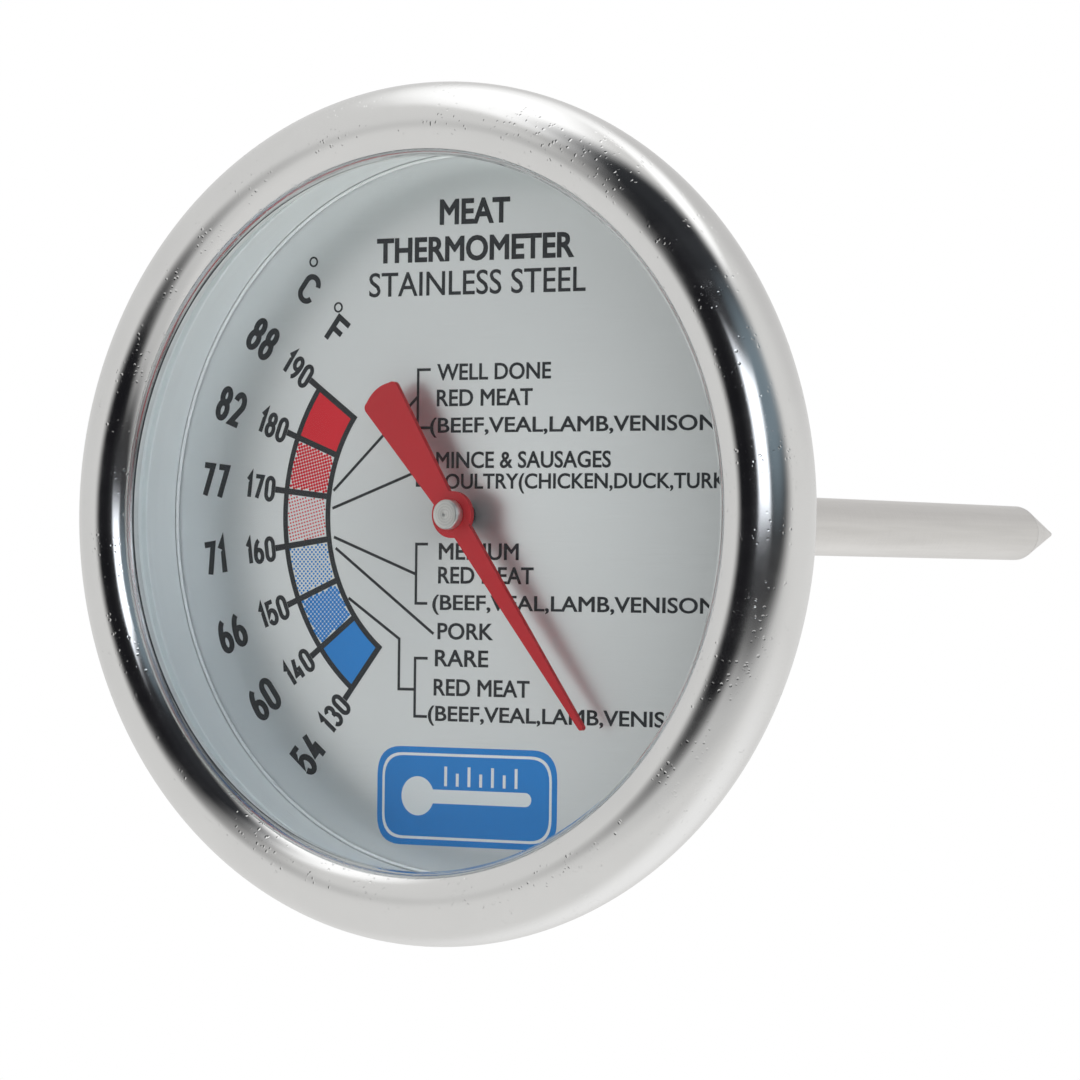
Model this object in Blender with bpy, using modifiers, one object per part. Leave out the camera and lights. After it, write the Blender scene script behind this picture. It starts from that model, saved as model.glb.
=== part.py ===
"""Dial meat thermometer with a stem, modelled piece by piece.

Every piece is built on its own turning axis (local +Z towards the reader of the
dial, +X to the right, +Y to twelve o'clock).  Two empties carry the pieces: the
case axis, which turns that frame so the dial faces world -Y, and the pointer
axis, which is the hinge of the movement.  Local Z is 0 at the flat back of the
case; the stem leaves the case there and runs towards -Z.
"""

import math

import bpy

MM = 0.001

# ---------------------------------------------------------------- clearances
SEAT_GAP = 0.30 * MM          # between the large pressed pieces of the case
FIT_GAP = 0.10 * MM           # between small turned pieces
RUN_GAP = 0.06 * MM           # radial clearance of the spindle in its bearings

# ---------------------------------------------------------------- case, front to back
SHEET = 0.5 * MM              # pressed stainless sheet
BEZEL_RADIUS = 38.0 * MM
BEAD_OUTER_WIDTH = 4.0 * MM   # foremost line of the bead to its outer side
BEAD_INNER_WIDTH = 2.7 * MM   # foremost line of the bead to its lip
CREST_RISE = 2.15 * MM        # crest in front of the lip plane
BEAD_EQUATOR = 2.5 * MM       # widest circle, behind the lip plane
BEAD_REAR = 7.3 * MM          # rear of the bead, behind the lip plane
GASKET_THICKNESS = 0.5 * MM
GASKET_WIDTH = 1.2 * MM
GLASS_THICKNESS = 2.0 * MM
GLASS_LAP = 1.5 * MM          # glass held behind the lip
SPACER_WALL = 0.55 * MM       # polished wall between the glass and the dial
SPACER_FOOT = 0.45 * MM       # small inward roll that bears on the dial
DIAL_DEPTH = 8.0 * MM         # lip plane to the face of the dial
DIAL_THICKNESS = 0.4 * MM
DIAL_AIR = 0.4 * MM           # around the spindle, in the dial's hole
SHOULDER_WIDTH = 1.9 * MM     # ledge of the case that carries the dial
BACK_CORNER = 3.5 * MM        # outside radius between the side and the back
BACK_RECESS = 1.0 * MM        # sunk middle of the back, where the bushing seats
RECESS_AIR = 0.7 * MM         # around the bushing's flange
RECESS_SLOPE = 1.0 * MM       # width of the recess's sloping side
RIM_HEIGHT = 0.5 * MM         # how far the case wall runs past the bead's widest circle

# ---------------------------------------------------------------- stem
STEM_RADIUS = 2.9 * MM
STEM_WALL = 0.45 * MM
STEM_LENGTH = 107.5 * MM      # back of the case to the point
TIP_LENGTH = 8.5 * MM
TIP_BLUNT = 0.25 * MM         # radius of the point's end
TIP_SPIGOT = 3.0 * MM
HEAD_AIR = 1.0 * MM           # between the bearing at the tube's end and the dial
SPIGOT_WALL = 1.4 * MM        # bushing's wall around the tube
SPIGOT_PROUD = 1.2 * MM       # spigot past the lock ring, for staking
HEAD_PROUD = 0.6 * MM         # tube past the spigot
BUSHING_FLANGE_WIDTH = 2.1 * MM
BUSHING_FLANGE_THICKNESS = 1.5 * MM
BUSHING_NECK = 4.6 * MM       # length behind the flange
NECK_WALL = 1.0 * MM
LOCK_RING_WIDTH = 2.4 * MM
LOCK_RING_THICKNESS = 1.4 * MM

# ---------------------------------------------------------------- movement
SPINDLE_RADIUS = 0.5 * MM
BEARING_FLANGE = 0.5 * MM
BEARING_LENGTH = 3.0 * MM
LOWER_BEARING_LIFT = 4.0 * MM # above the collet
LOWER_BEARING_LENGTH = 2.0 * MM
STOP_COLLAR_WALL = 0.7 * MM
STOP_COLLAR_LENGTH = 0.8 * MM
COLLET_LENGTH = 3.6 * MM
COLLET_AIR = 0.25 * MM        # between the collet and the coil around it
COIL_TURNS = 12
COIL_PITCH = 2.4 * MM
COIL_AIR = 0.5 * MM           # between the coil and the tube around it
COIL_STRIP_WIDTH = 1.6 * MM
COIL_STRIP_THICKNESS = 0.25 * MM
ANCHOR_LENGTH = 3.0 * MM

# ---------------------------------------------------------------- pointer
POINTER_LIFT = 1.9 * MM       # face of the dial to the back of the pointer
POINTER_THICKNESS = 0.5 * MM
POINTER_HUB = 2.08 * MM
POINTER_AIR = 8.95 * MM       # between the needle's end and the polished wall
POINTER_ROOT_WIDTH = 1.9 * MM
POINTER_END_WIDTH = 0.5 * MM
TAIL_LENGTH = 13.9 * MM
TAIL_ROOT_WIDTH = 2.0 * MM
TAIL_END_WIDTH = 4.1 * MM
TAIL_CORNER = 0.6 * MM
TAIL_END_RADIUS = 3.4 * MM
PIN_HEAD_RADIUS = 1.33 * MM
PIN_HEAD_HEIGHT = 0.95 * MM
PIN_SHANK_RADIUS = 0.5 * MM
PIN_SHANK_LENGTH = 1.4 * MM
SLEEVE_RADIUS = 1.15 * MM
SLEEVE_LIFT = 0.2 * MM        # free space between the sleeve and the dial
POINTER_ANGLE = math.radians(-53.4)   # at room temperature, from three o'clock

# ---------------------------------------------------------------- fineness
RING_STEPS = 64
STEM_STEPS = 32
SMALL_STEPS = 24
COIL_STEPS = 14               # in one turn
ARC_STEPS = 6
SHARP_ANGLE = 30.0            # edges bent more than this stay crisp

# ---------------------------------------------------------------- worked out from the above
CREST_RADIUS = BEZEL_RADIUS - BEAD_OUTER_WIDTH
LIP_RADIUS = CREST_RADIUS - BEAD_INNER_WIDTH
GLASS_RADIUS = LIP_RADIUS + GLASS_LAP
SPACER_BORE = GLASS_RADIUS - SPACER_WALL
POINTER_LENGTH = SPACER_BORE - POINTER_AIR
CASE_BORE = GLASS_RADIUS + SEAT_GAP
CASE_OUTER = CASE_BORE + SHEET
WELL_OUTER = CASE_OUTER - SHOULDER_WIDTH
DIAL_HOLE = SPINDLE_RADIUS + DIAL_AIR

BUSHING_BORE = STEM_RADIUS + FIT_GAP
SPIGOT_RADIUS = BUSHING_BORE + SPIGOT_WALL
BUSHING_FLANGE = SPIGOT_RADIUS + BUSHING_FLANGE_WIDTH
RECESS_RADIUS = BUSHING_FLANGE + RECESS_AIR
LOCK_RING_Z = BACK_RECESS + SHEET + SEAT_GAP
SPIGOT_TOP = LOCK_RING_Z + LOCK_RING_THICKNESS + SPIGOT_PROUD
STEM_HEAD = SPIGOT_TOP + HEAD_PROUD
STEM_BORE = STEM_RADIUS - STEM_WALL
PLUG_RADIUS = STEM_BORE - FIT_GAP
BEARING_SEAT = STEM_HEAD + FIT_GAP
BEARING_BORE = SPINDLE_RADIUS + RUN_GAP

DIAL_BOTTOM = BEARING_SEAT + BEARING_FLANGE + HEAD_AIR
DIAL_TOP = DIAL_BOTTOM + DIAL_THICKNESS
SHOULDER_Z = DIAL_BOTTOM - SEAT_GAP
LIP_Z = DIAL_TOP + DIAL_DEPTH
GASKET_TOP = LIP_Z - SEAT_GAP
GLASS_TOP = GASKET_TOP - GASKET_THICKNESS - SEAT_GAP
GLASS_BOTTOM = GLASS_TOP - GLASS_THICKNESS
POINTER_BOTTOM = DIAL_TOP + POINTER_LIFT
POINTER_TOP = POINTER_BOTTOM + POINTER_THICKNESS

TIP_BASE_Z = -(STEM_LENGTH - TIP_LENGTH)
ANCHOR_Z = TIP_BASE_Z + TIP_SPIGOT + SEAT_GAP
COIL_BOTTOM = ANCHOR_Z + ANCHOR_LENGTH + COIL_STRIP_WIDTH
COIL_TOP = COIL_BOTTOM + COIL_TURNS * COIL_PITCH
COIL_RADIUS = STEM_BORE - COIL_AIR - COIL_STRIP_THICKNESS / 2
COLLET_RADIUS = COIL_RADIUS - COIL_STRIP_THICKNESS / 2 - COLLET_AIR
COLLET_TOP = COIL_TOP + COIL_STRIP_WIDTH


# ================================================================ helpers
def clear_scene():
    """Remove every object that the file opens with."""
    for item in list(bpy.data.objects):
        bpy.data.objects.remove(item, do_unlink=True)


def make_material(name, colour, metallic, roughness, alpha=1.0):
    """Return a Principled material."""
    material = bpy.data.materials.new(name)
    material.use_nodes = True
    shader = material.node_tree.nodes["Principled BSDF"]
    shader.inputs["Base Color"].default_value = (*colour, 1.0)
    shader.inputs["Metallic"].default_value = metallic
    shader.inputs["Roughness"].default_value = roughness
    shader.inputs["Alpha"].default_value = alpha
    return material


def arc(centre, radii, start, end, steps=ARC_STEPS):
    """Points (r, z) along an ellipse's arc, angles in degrees from +r towards +z."""
    points = []
    for index in range(steps + 1):
        angle = math.radians(start + (end - start) * index / steps)
        points.append((centre[0] + radii[0] * math.cos(angle),
                       centre[1] + radii[1] * math.sin(angle)))
    return points


def add_object(name, data, material, parent, collection):
    """Link a new object under its axis empty."""
    item = bpy.data.objects.new(name, data)
    item.data.materials.append(material)
    item.parent = parent
    collection.objects.link(item)
    return item


def bake(item):
    """Give an object the mesh that its modifiers make, and drop the modifiers."""
    bpy.context.view_layer.update()
    evaluated = item.evaluated_get(bpy.context.evaluated_depsgraph_get())
    mesh = bpy.data.meshes.new_from_object(evaluated)
    mesh.name = item.name
    item.modifiers.clear()
    item.data = mesh


def turned(name, profile, material, parent, collection, steps=RING_STEPS):
    """Turn a profile of (r, z) points about the local Z axis.

    The profile runs down the outer side.  A profile that starts and ends on the
    axis is left open there; any other is a ring and is closed.
    """
    solid = profile[0][0] == 0.0 and profile[-1][0] == 0.0
    count = len(profile)
    edges = [(index, index + 1) for index in range(count - 1)]
    if not solid:
        edges.append((count - 1, 0))
    mesh = bpy.data.meshes.new(name)
    mesh.from_pydata([(r, 0.0, z) for r, z in profile], edges, [])
    item = add_object(name, mesh, material, parent, collection)
    screw = item.modifiers.new("turn", "SCREW")
    screw.axis = "Z"
    screw.angle = 2.0 * math.pi
    screw.steps = steps
    screw.render_steps = steps
    screw.use_merge_vertices = True
    screw.merge_threshold = 0.00001
    bake(item)
    item.data.shade_smooth()
    item.data.set_sharp_from_angle(angle=math.radians(SHARP_ANGLE))
    return item


# ================================================================ case
def bezel_profile():
    """Closed section of the rolled bezel: outer skin back, inner skin forward."""
    crest_z = LIP_Z + CREST_RISE
    equator_z = LIP_Z - BEAD_EQUATOR
    rear_z = LIP_Z - BEAD_REAR
    lip_reach = CREST_RADIUS - LIP_RADIUS
    side_reach = BEZEL_RADIUS - CREST_RADIUS
    front_rise = crest_z - equator_z
    rear_fall = equator_z - rear_z
    lip_centre = (CREST_RADIUS, LIP_Z)
    side_centre = (CREST_RADIUS, equator_z)
    outer = arc(lip_centre, (lip_reach, CREST_RISE), 180.0, 90.0)
    outer += arc(side_centre, (side_reach, front_rise), 90.0, 0.0)[1:]
    outer += arc(side_centre, (side_reach, rear_fall), 0.0, -90.0)[1:]
    inner = arc(side_centre, (side_reach - SHEET, rear_fall - SHEET), -90.0, 0.0, 4)
    inner += arc(side_centre, (side_reach - SHEET, front_rise - SHEET), 0.0, 90.0, 4)[1:]
    inner += arc(lip_centre, (lip_reach - SHEET, CREST_RISE - SHEET), 90.0, 180.0, 3)[1:]
    return outer + inner


def case_profile():
    """Closed section of the drawn case: rim, side, ledge for the dial, well, back."""
    rim_z = LIP_Z - BEAD_EQUATOR + RIM_HEIGHT
    rim_radius = BEZEL_RADIUS - SHEET - SEAT_GAP
    hole = SPIGOT_RADIUS + FIT_GAP
    corner = min(BACK_CORNER, SHOULDER_Z - 2 * SHEET)
    corner_centre = (WELL_OUTER - corner, corner)
    inner_corner = corner - SHEET
    outer = [(CASE_BORE, rim_z), (rim_radius - RIM_HEIGHT, rim_z), (rim_radius, rim_z - SHEET / 2),
             (rim_radius - RIM_HEIGHT, rim_z - SHEET), (CASE_OUTER, rim_z - SHEET),
             (CASE_OUTER, SHOULDER_Z - SHEET), (WELL_OUTER, SHOULDER_Z - SHEET)]
    outer += arc(corner_centre, (corner, corner), 0.0, -90.0)
    outer += [(RECESS_RADIUS + RECESS_SLOPE, 0.0), (RECESS_RADIUS, BACK_RECESS), (hole, BACK_RECESS)]
    inner = [(hole, BACK_RECESS + SHEET), (RECESS_RADIUS, BACK_RECESS + SHEET),
             (RECESS_RADIUS + RECESS_SLOPE, SHEET)]
    inner += arc(corner_centre, (inner_corner, inner_corner), -90.0, 0.0)
    inner += [(WELL_OUTER - SHEET, SHOULDER_Z), (CASE_BORE, SHOULDER_Z)]
    return outer + inner


def build_case(axis, collection, finishes):
    """Bezel, gasket, glass, spacer, dial and the drawn case."""
    turned("bezel_ring", bezel_profile(), finishes["polished"], axis, collection)

    gasket_bore = GLASS_RADIUS - GASKET_WIDTH
    turned("lens_gasket",
           [(gasket_bore, GASKET_TOP), (GLASS_RADIUS, GASKET_TOP),
            (GLASS_RADIUS, GASKET_TOP - GASKET_THICKNESS), (gasket_bore, GASKET_TOP - GASKET_THICKNESS)],
           finishes["gasket"], axis, collection)

    bevel = 0.2 * MM
    turned("glass_lens",
           [(0.0, GLASS_TOP), (GLASS_RADIUS - bevel, GLASS_TOP), (GLASS_RADIUS, GLASS_TOP - bevel),
            (GLASS_RADIUS, GLASS_BOTTOM + bevel), (GLASS_RADIUS - bevel, GLASS_BOTTOM),
            (0.0, GLASS_BOTTOM)],
           finishes["glass"], axis, collection)

    spacer_top = GLASS_BOTTOM - SEAT_GAP
    spacer_foot = DIAL_TOP + SEAT_GAP
    roll_centre = (SPACER_BORE, spacer_foot + SPACER_FOOT)
    foot = arc(roll_centre, (SPACER_FOOT, SPACER_FOOT), -90.0, -180.0, 4)
    turned("spacer_ring",
           [(SPACER_BORE, spacer_top), (GLASS_RADIUS, spacer_top), (GLASS_RADIUS, spacer_foot)]
           + foot + [(SPACER_BORE, spacer_foot + 2 * SPACER_FOOT)],
           finishes["spacer"], axis, collection)

    turned("dial_plate",
           [(DIAL_HOLE, DIAL_TOP), (GLASS_RADIUS, DIAL_TOP),
            (GLASS_RADIUS, DIAL_BOTTOM), (DIAL_HOLE, DIAL_BOTTOM)],
           finishes["dial"], axis, collection)

    turned("case_back", case_profile(), finishes["polished"], axis, collection)


# ================================================================ stem
def build_stem(axis, collection, finishes):
    """Bushing, lock ring, tube, pointed tip and the fixed pieces inside the tube."""
    flange_top = BACK_RECESS - SEAT_GAP
    flange_bottom = flange_top - BUSHING_FLANGE_THICKNESS
    neck_bottom = flange_bottom - BUSHING_NECK
    neck_radius = BUSHING_BORE + NECK_WALL
    chamfer = NECK_WALL / 3
    turned("stem_bushing",
           [(BUSHING_BORE, SPIGOT_TOP), (SPIGOT_RADIUS, SPIGOT_TOP), (SPIGOT_RADIUS, flange_top),
            (BUSHING_FLANGE - chamfer, flange_top), (BUSHING_FLANGE, flange_top - chamfer),
            (BUSHING_FLANGE, flange_bottom), (neck_radius, flange_bottom),
            (neck_radius, neck_bottom + chamfer), (neck_radius - chamfer, neck_bottom),
            (BUSHING_BORE, neck_bottom)],
           finishes["satin"], axis, collection, STEM_STEPS)

    ring_bore = SPIGOT_RADIUS + FIT_GAP
    turned("bushing_lock_ring",
           [(ring_bore, LOCK_RING_Z + LOCK_RING_THICKNESS),
            (ring_bore + LOCK_RING_WIDTH, LOCK_RING_Z + LOCK_RING_THICKNESS),
            (ring_bore + LOCK_RING_WIDTH, LOCK_RING_Z), (ring_bore, LOCK_RING_Z)],
           finishes["brass"], axis, collection, STEM_STEPS)

    tube_bottom = TIP_BASE_Z + FIT_GAP
    turned("stem_tube",
           [(STEM_BORE, STEM_HEAD), (STEM_RADIUS, STEM_HEAD),
            (STEM_RADIUS, tube_bottom), (STEM_BORE, tube_bottom)],
           finishes["satin"], axis, collection, STEM_STEPS)

    turned("stem_tip",
           [(0.0, TIP_BASE_Z + TIP_SPIGOT), (PLUG_RADIUS, TIP_BASE_Z + TIP_SPIGOT),
            (PLUG_RADIUS, TIP_BASE_Z), (STEM_RADIUS, TIP_BASE_Z),
            (TIP_BLUNT, -STEM_LENGTH + TIP_BLUNT / 2), (0.0, -STEM_LENGTH)],
           finishes["satin"], axis, collection, STEM_STEPS)

    turned("upper_bearing",
           [(BEARING_BORE, BEARING_SEAT + BEARING_FLANGE), (STEM_RADIUS, BEARING_SEAT + BEARING_FLANGE),
            (STEM_RADIUS, BEARING_SEAT), (PLUG_RADIUS, BEARING_SEAT),
            (PLUG_RADIUS, BEARING_SEAT - BEARING_LENGTH), (BEARING_BORE, BEARING_SEAT - BEARING_LENGTH)],
           finishes["nylon"], axis, collection, STEM_STEPS)

    lower_top = COLLET_TOP + LOWER_BEARING_LIFT + LOWER_BEARING_LENGTH
    turned("lower_bearing",
           [(BEARING_BORE, lower_top), (PLUG_RADIUS, lower_top),
            (PLUG_RADIUS, lower_top - LOWER_BEARING_LENGTH),
            (BEARING_BORE, lower_top - LOWER_BEARING_LENGTH)],
           finishes["nylon"], axis, collection, STEM_STEPS)

    anchor_shoulder = ANCHOR_Z + ANCHOR_LENGTH
    turned("coil_anchor",
           [(0.0, COIL_BOTTOM + COIL_STRIP_WIDTH), (COLLET_RADIUS, COIL_BOTTOM + COIL_STRIP_WIDTH),
            (COLLET_RADIUS, anchor_shoulder), (PLUG_RADIUS, anchor_shoulder),
            (PLUG_RADIUS, ANCHOR_Z), (0.0, ANCHOR_Z)],
           finishes["satin"], axis, collection, STEM_STEPS)


def build_coil(axis, collection, finishes):
    """The bimetal helix: a flat strip wound as a screw, given its thickness."""
    mesh = bpy.data.meshes.new("bimetal_coil")
    mesh.from_pydata([(COIL_RADIUS, 0.0, COIL_TOP + COIL_STRIP_WIDTH / 2),
                      (COIL_RADIUS, 0.0, COIL_TOP - COIL_STRIP_WIDTH / 2)], [(0, 1)], [])
    item = add_object("bimetal_coil", mesh, finishes["bimetal"], axis, collection)
    screw = item.modifiers.new("wind", "SCREW")
    screw.axis = "Z"
    screw.angle = 2.0 * math.pi
    screw.screw_offset = -COIL_PITCH
    screw.iterations = COIL_TURNS
    screw.steps = COIL_STEPS
    screw.render_steps = COIL_STEPS
    thickness = item.modifiers.new("strip", "SOLIDIFY")
    thickness.thickness = COIL_STRIP_THICKNESS
    thickness.offset = 0.0
    bake(item)
    item.data.shade_smooth()
    item.data.set_sharp_from_angle(angle=math.radians(SHARP_ANGLE))


# ================================================================ movement
def pointer_outline():
    """Outline of the flat pointer, needle along +X and tail along -X."""
    half_root = POINTER_ROOT_WIDTH / 2
    half_tip = POINTER_END_WIDTH / 2
    half_tail_root = TAIL_ROOT_WIDTH / 2
    half_tail = TAIL_END_WIDTH / 2
    root_angle = math.degrees(math.asin(half_root / POINTER_HUB))
    tail_angle = 180.0 - math.degrees(math.asin(half_tail_root / POINTER_HUB))
    end_sag = TAIL_END_RADIUS - math.sqrt(TAIL_END_RADIUS ** 2 - (half_tail - TAIL_CORNER) ** 2)
    corner_x = -(TAIL_LENGTH - end_sag - TAIL_CORNER)
    end_centre = (TAIL_END_RADIUS - TAIL_LENGTH, 0.0)
    spread = math.degrees(math.asin((half_tail - TAIL_CORNER) / TAIL_END_RADIUS))
    upper = arc((POINTER_LENGTH - half_tip, 0.0), (half_tip, half_tip), 0.0, 90.0, 3)
    upper += arc((0.0, 0.0), (POINTER_HUB, POINTER_HUB), root_angle, tail_angle, 10)
    upper += arc((corner_x, half_tail - TAIL_CORNER), (TAIL_CORNER, TAIL_CORNER), 80.0, 150.0, 3)
    upper += arc(end_centre, (TAIL_END_RADIUS, TAIL_END_RADIUS), 180.0 - spread, 180.0, 4)
    lower = [(x, -y) for x, y in reversed(upper[1:-1])]
    return upper + lower


def build_pointer(axis, collection, finishes):
    """The red pointer: one flat outline with the pin's hole."""
    flat = bpy.data.curves.new("pointer", "CURVE")
    flat.dimensions = "2D"
    flat.fill_mode = "BOTH"
    flat.extrude = POINTER_THICKNESS / 2
    hole = arc((0.0, 0.0), (PIN_SHANK_RADIUS + FIT_GAP, PIN_SHANK_RADIUS + FIT_GAP),
               0.0, 360.0, SMALL_STEPS)[:-1]
    for outline in (pointer_outline(), hole):
        spline = flat.splines.new("POLY")
        spline.points.add(len(outline) - 1)
        for point, (x, y) in zip(spline.points, outline):
            point.co = (x, y, 0.0, 1.0)
        spline.use_cyclic_u = True
    item = add_object("pointer", flat, finishes["red"], axis, collection)
    item.location = (0.0, 0.0, (POINTER_TOP + POINTER_BOTTOM) / 2)


def build_movement(axis, collection, finishes):
    """Pointer, its pin and sleeve, the spindle and what is fixed on it."""
    build_pointer(axis, collection, finishes)

    head_bottom = POINTER_TOP + FIT_GAP
    head_top = head_bottom + PIN_HEAD_HEIGHT
    dimple = 0.12 * MM
    shoulder = 0.2 * MM
    turned("pointer_pin",
           [(0.0, head_top - dimple), (2 * dimple, head_top), (PIN_HEAD_RADIUS - shoulder, head_top)]
           + arc((PIN_HEAD_RADIUS - shoulder, head_top - shoulder), (shoulder, shoulder), 90.0, 0.0, 3)[1:]
           + [(PIN_HEAD_RADIUS, head_bottom), (PIN_SHANK_RADIUS, head_bottom),
              (PIN_SHANK_RADIUS, head_bottom - PIN_SHANK_LENGTH),
              (0.0, head_bottom - PIN_SHANK_LENGTH)],
           finishes["pin"], axis, collection, SMALL_STEPS)

    sleeve_bore = SPINDLE_RADIUS + FIT_GAP
    sleeve_top = POINTER_BOTTOM - FIT_GAP
    sleeve_bottom = DIAL_TOP + SLEEVE_LIFT
    turned("pointer_sleeve",
           [(sleeve_bore, sleeve_top), (SLEEVE_RADIUS, sleeve_top),
            (SLEEVE_RADIUS, sleeve_bottom), (sleeve_bore, sleeve_bottom)],
           finishes["black"], axis, collection, SMALL_STEPS)

    spindle_top = head_bottom - PIN_SHANK_LENGTH - FIT_GAP
    collet_bottom = COLLET_TOP - COLLET_LENGTH
    socket_depth = COLLET_LENGTH / 2
    turned("spindle",
           [(0.0, spindle_top), (SPINDLE_RADIUS, spindle_top),
            (SPINDLE_RADIUS, COLLET_TOP - socket_depth), (0.0, COLLET_TOP - socket_depth)],
           finishes["satin"], axis, collection, SMALL_STEPS)

    stop_top = BEARING_SEAT - BEARING_LENGTH - SEAT_GAP
    stop_bore = SPINDLE_RADIUS + FIT_GAP
    turned("spindle_stop_collar",
           [(stop_bore, stop_top), (stop_bore + STOP_COLLAR_WALL, stop_top),
            (stop_bore + STOP_COLLAR_WALL, stop_top - STOP_COLLAR_LENGTH),
            (stop_bore, stop_top - STOP_COLLAR_LENGTH)],
           finishes["brass"], axis, collection, SMALL_STEPS)

    socket_floor = COLLET_TOP - socket_depth - FIT_GAP
    turned("coil_collet",
           [(0.0, socket_floor), (SPINDLE_RADIUS + FIT_GAP, socket_floor),
            (SPINDLE_RADIUS + FIT_GAP, COLLET_TOP), (COLLET_RADIUS, COLLET_TOP),
            (COLLET_RADIUS, collet_bottom), (0.0, collet_bottom)],
           finishes["brass"], axis, collection, SMALL_STEPS)


# ================================================================ assembly
def make_finishes():
    """One material for each finish on the object."""
    return {
        "polished": make_material("polished_steel", (0.72, 0.72, 0.71), 1.0, 0.12),
        "satin": make_material("satin_steel", (0.60, 0.59, 0.57), 1.0, 0.38),
        "spacer": make_material("bright_ring", (0.80, 0.82, 0.82), 0.6, 0.35),
        "dial": make_material("brushed_dial", (0.58, 0.61, 0.61), 0.7, 0.45),
        "gasket": make_material("pale_rubber", (0.55, 0.55, 0.53), 0.0, 0.6),
        "glass": make_material("clear_glass", (0.92, 0.95, 0.95), 0.0, 0.03, 0.35),
        "nylon": make_material("white_nylon", (0.82, 0.81, 0.77), 0.0, 0.5),
        "brass": make_material("brass", (0.72, 0.55, 0.25), 1.0, 0.3),
        "bimetal": make_material("bimetal_strip", (0.50, 0.45, 0.38), 1.0, 0.4),
        "red": make_material("red_enamel", (0.45, 0.012, 0.018), 0.0, 0.35),
        "pin": make_material("turned_steel", (0.66, 0.66, 0.65), 1.0, 0.28),
        "black": make_material("black_plastic", (0.015, 0.015, 0.017), 0.0, 0.45),
    }


def make_axis(name, collection, turn=0.0):
    """An empty whose local +Z is world -Y, turned about that axis."""
    axis = bpy.data.objects.new(name, None)
    axis.empty_display_type = "ARROWS"
    axis.empty_display_size = 20.0 * MM
    axis.rotation_mode = "XYZ"
    axis.rotation_euler = (math.pi / 2, 0.0, turn)
    collection.objects.link(axis)
    return axis


def main():
    """Build the thermometer."""
    clear_scene()
    collection = bpy.data.collections.new("meat_thermometer")
    bpy.context.scene.collection.children.link(collection)
    finishes = make_finishes()
    case_axis = make_axis("case_axis", collection)
    pointer_axis = bpy.data.objects.new("pointer_axis", None)
    pointer_axis.empty_display_size = 10.0 * MM
    pointer_axis.parent = case_axis
    pointer_axis.rotation_euler = (0.0, 0.0, POINTER_ANGLE)
    collection.objects.link(pointer_axis)
    build_case(case_axis, collection, finishes)
    build_stem(case_axis, collection, finishes)
    build_coil(case_axis, collection, finishes)
    build_movement(pointer_axis, collection, finishes)


main()
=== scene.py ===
"""Visual model of a dial meat thermometer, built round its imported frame.

The stem lies along +Y and the dial looks towards -Y.  A place on the dial is given
as (x, z) with a height in front of the flat back of the case; height h is world
y = -h.  All sizes are in metres.
"""

import logging
import math
from dataclasses import dataclass, field
from enum import Enum
from typing import Optional, Union

import bmesh
import bpy
from mathutils import Matrix, Vector


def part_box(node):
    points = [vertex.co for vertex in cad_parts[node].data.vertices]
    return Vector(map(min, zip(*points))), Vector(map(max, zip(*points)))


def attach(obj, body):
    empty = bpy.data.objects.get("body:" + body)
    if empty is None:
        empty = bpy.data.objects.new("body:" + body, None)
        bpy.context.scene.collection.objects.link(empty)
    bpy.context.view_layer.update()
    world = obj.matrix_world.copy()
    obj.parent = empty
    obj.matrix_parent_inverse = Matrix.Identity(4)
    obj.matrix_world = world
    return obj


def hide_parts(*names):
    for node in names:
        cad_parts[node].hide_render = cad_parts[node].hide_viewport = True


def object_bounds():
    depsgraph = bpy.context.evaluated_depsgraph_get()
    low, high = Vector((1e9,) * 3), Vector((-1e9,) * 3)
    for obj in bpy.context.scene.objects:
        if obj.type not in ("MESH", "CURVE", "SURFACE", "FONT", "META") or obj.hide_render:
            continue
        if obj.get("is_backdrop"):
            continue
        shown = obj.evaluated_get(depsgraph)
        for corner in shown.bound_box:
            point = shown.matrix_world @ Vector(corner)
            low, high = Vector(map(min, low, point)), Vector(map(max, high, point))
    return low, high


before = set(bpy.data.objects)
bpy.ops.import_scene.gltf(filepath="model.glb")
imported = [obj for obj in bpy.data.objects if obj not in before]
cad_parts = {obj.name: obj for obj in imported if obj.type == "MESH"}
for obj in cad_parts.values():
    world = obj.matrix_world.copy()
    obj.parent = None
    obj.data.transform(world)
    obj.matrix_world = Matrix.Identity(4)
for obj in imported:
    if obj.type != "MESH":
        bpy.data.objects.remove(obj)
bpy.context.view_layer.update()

LOG = logging.getLogger("meat_thermometer")
MM = 0.001
AXIS = Vector((0.0, 1.0, 0.0))

Point = tuple[float, float]
Corner = tuple[float, float, float]
Colour = tuple[float, float, float]


class Body(str, Enum):
    """The two bodies of the frame that pieces ride on."""

    CASE = "case"
    MOVEMENT = "movement"


class Slot(str, Enum):
    """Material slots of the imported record."""

    POLISHED = "polished_steel"
    SATIN = "satin_steel"
    BRIGHT = "bright_ring"
    DIAL = "dial"
    GASKET = "gasket"
    GLASS = "glass"
    NYLON = "nylon"
    BRASS = "brass"
    BIMETAL = "bimetal"
    RED = "red_enamel"
    TURNED = "turned_steel"
    BLACK = "black_plastic"


# ====================================================================== outlines
def arc(centre: Point, radii: Point, start: float, end: float, steps: int) -> list[Point]:
    """Points along an ellipse's arc.

    Args:
        centre: middle of the ellipse.
        radii: half widths along the first and the second coordinate.
        start: first angle in degrees, from the first coordinate to the second.
        end: last angle in degrees.
        steps: number of straight pieces.

    Returns:
        steps + 1 points, both ends included.
    """
    turns = [math.radians(start + (end - start) * index / steps) for index in range(steps + 1)]
    return [(centre[0] + radii[0] * math.cos(turn), centre[1] + radii[1] * math.sin(turn)) for turn in turns]


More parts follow.
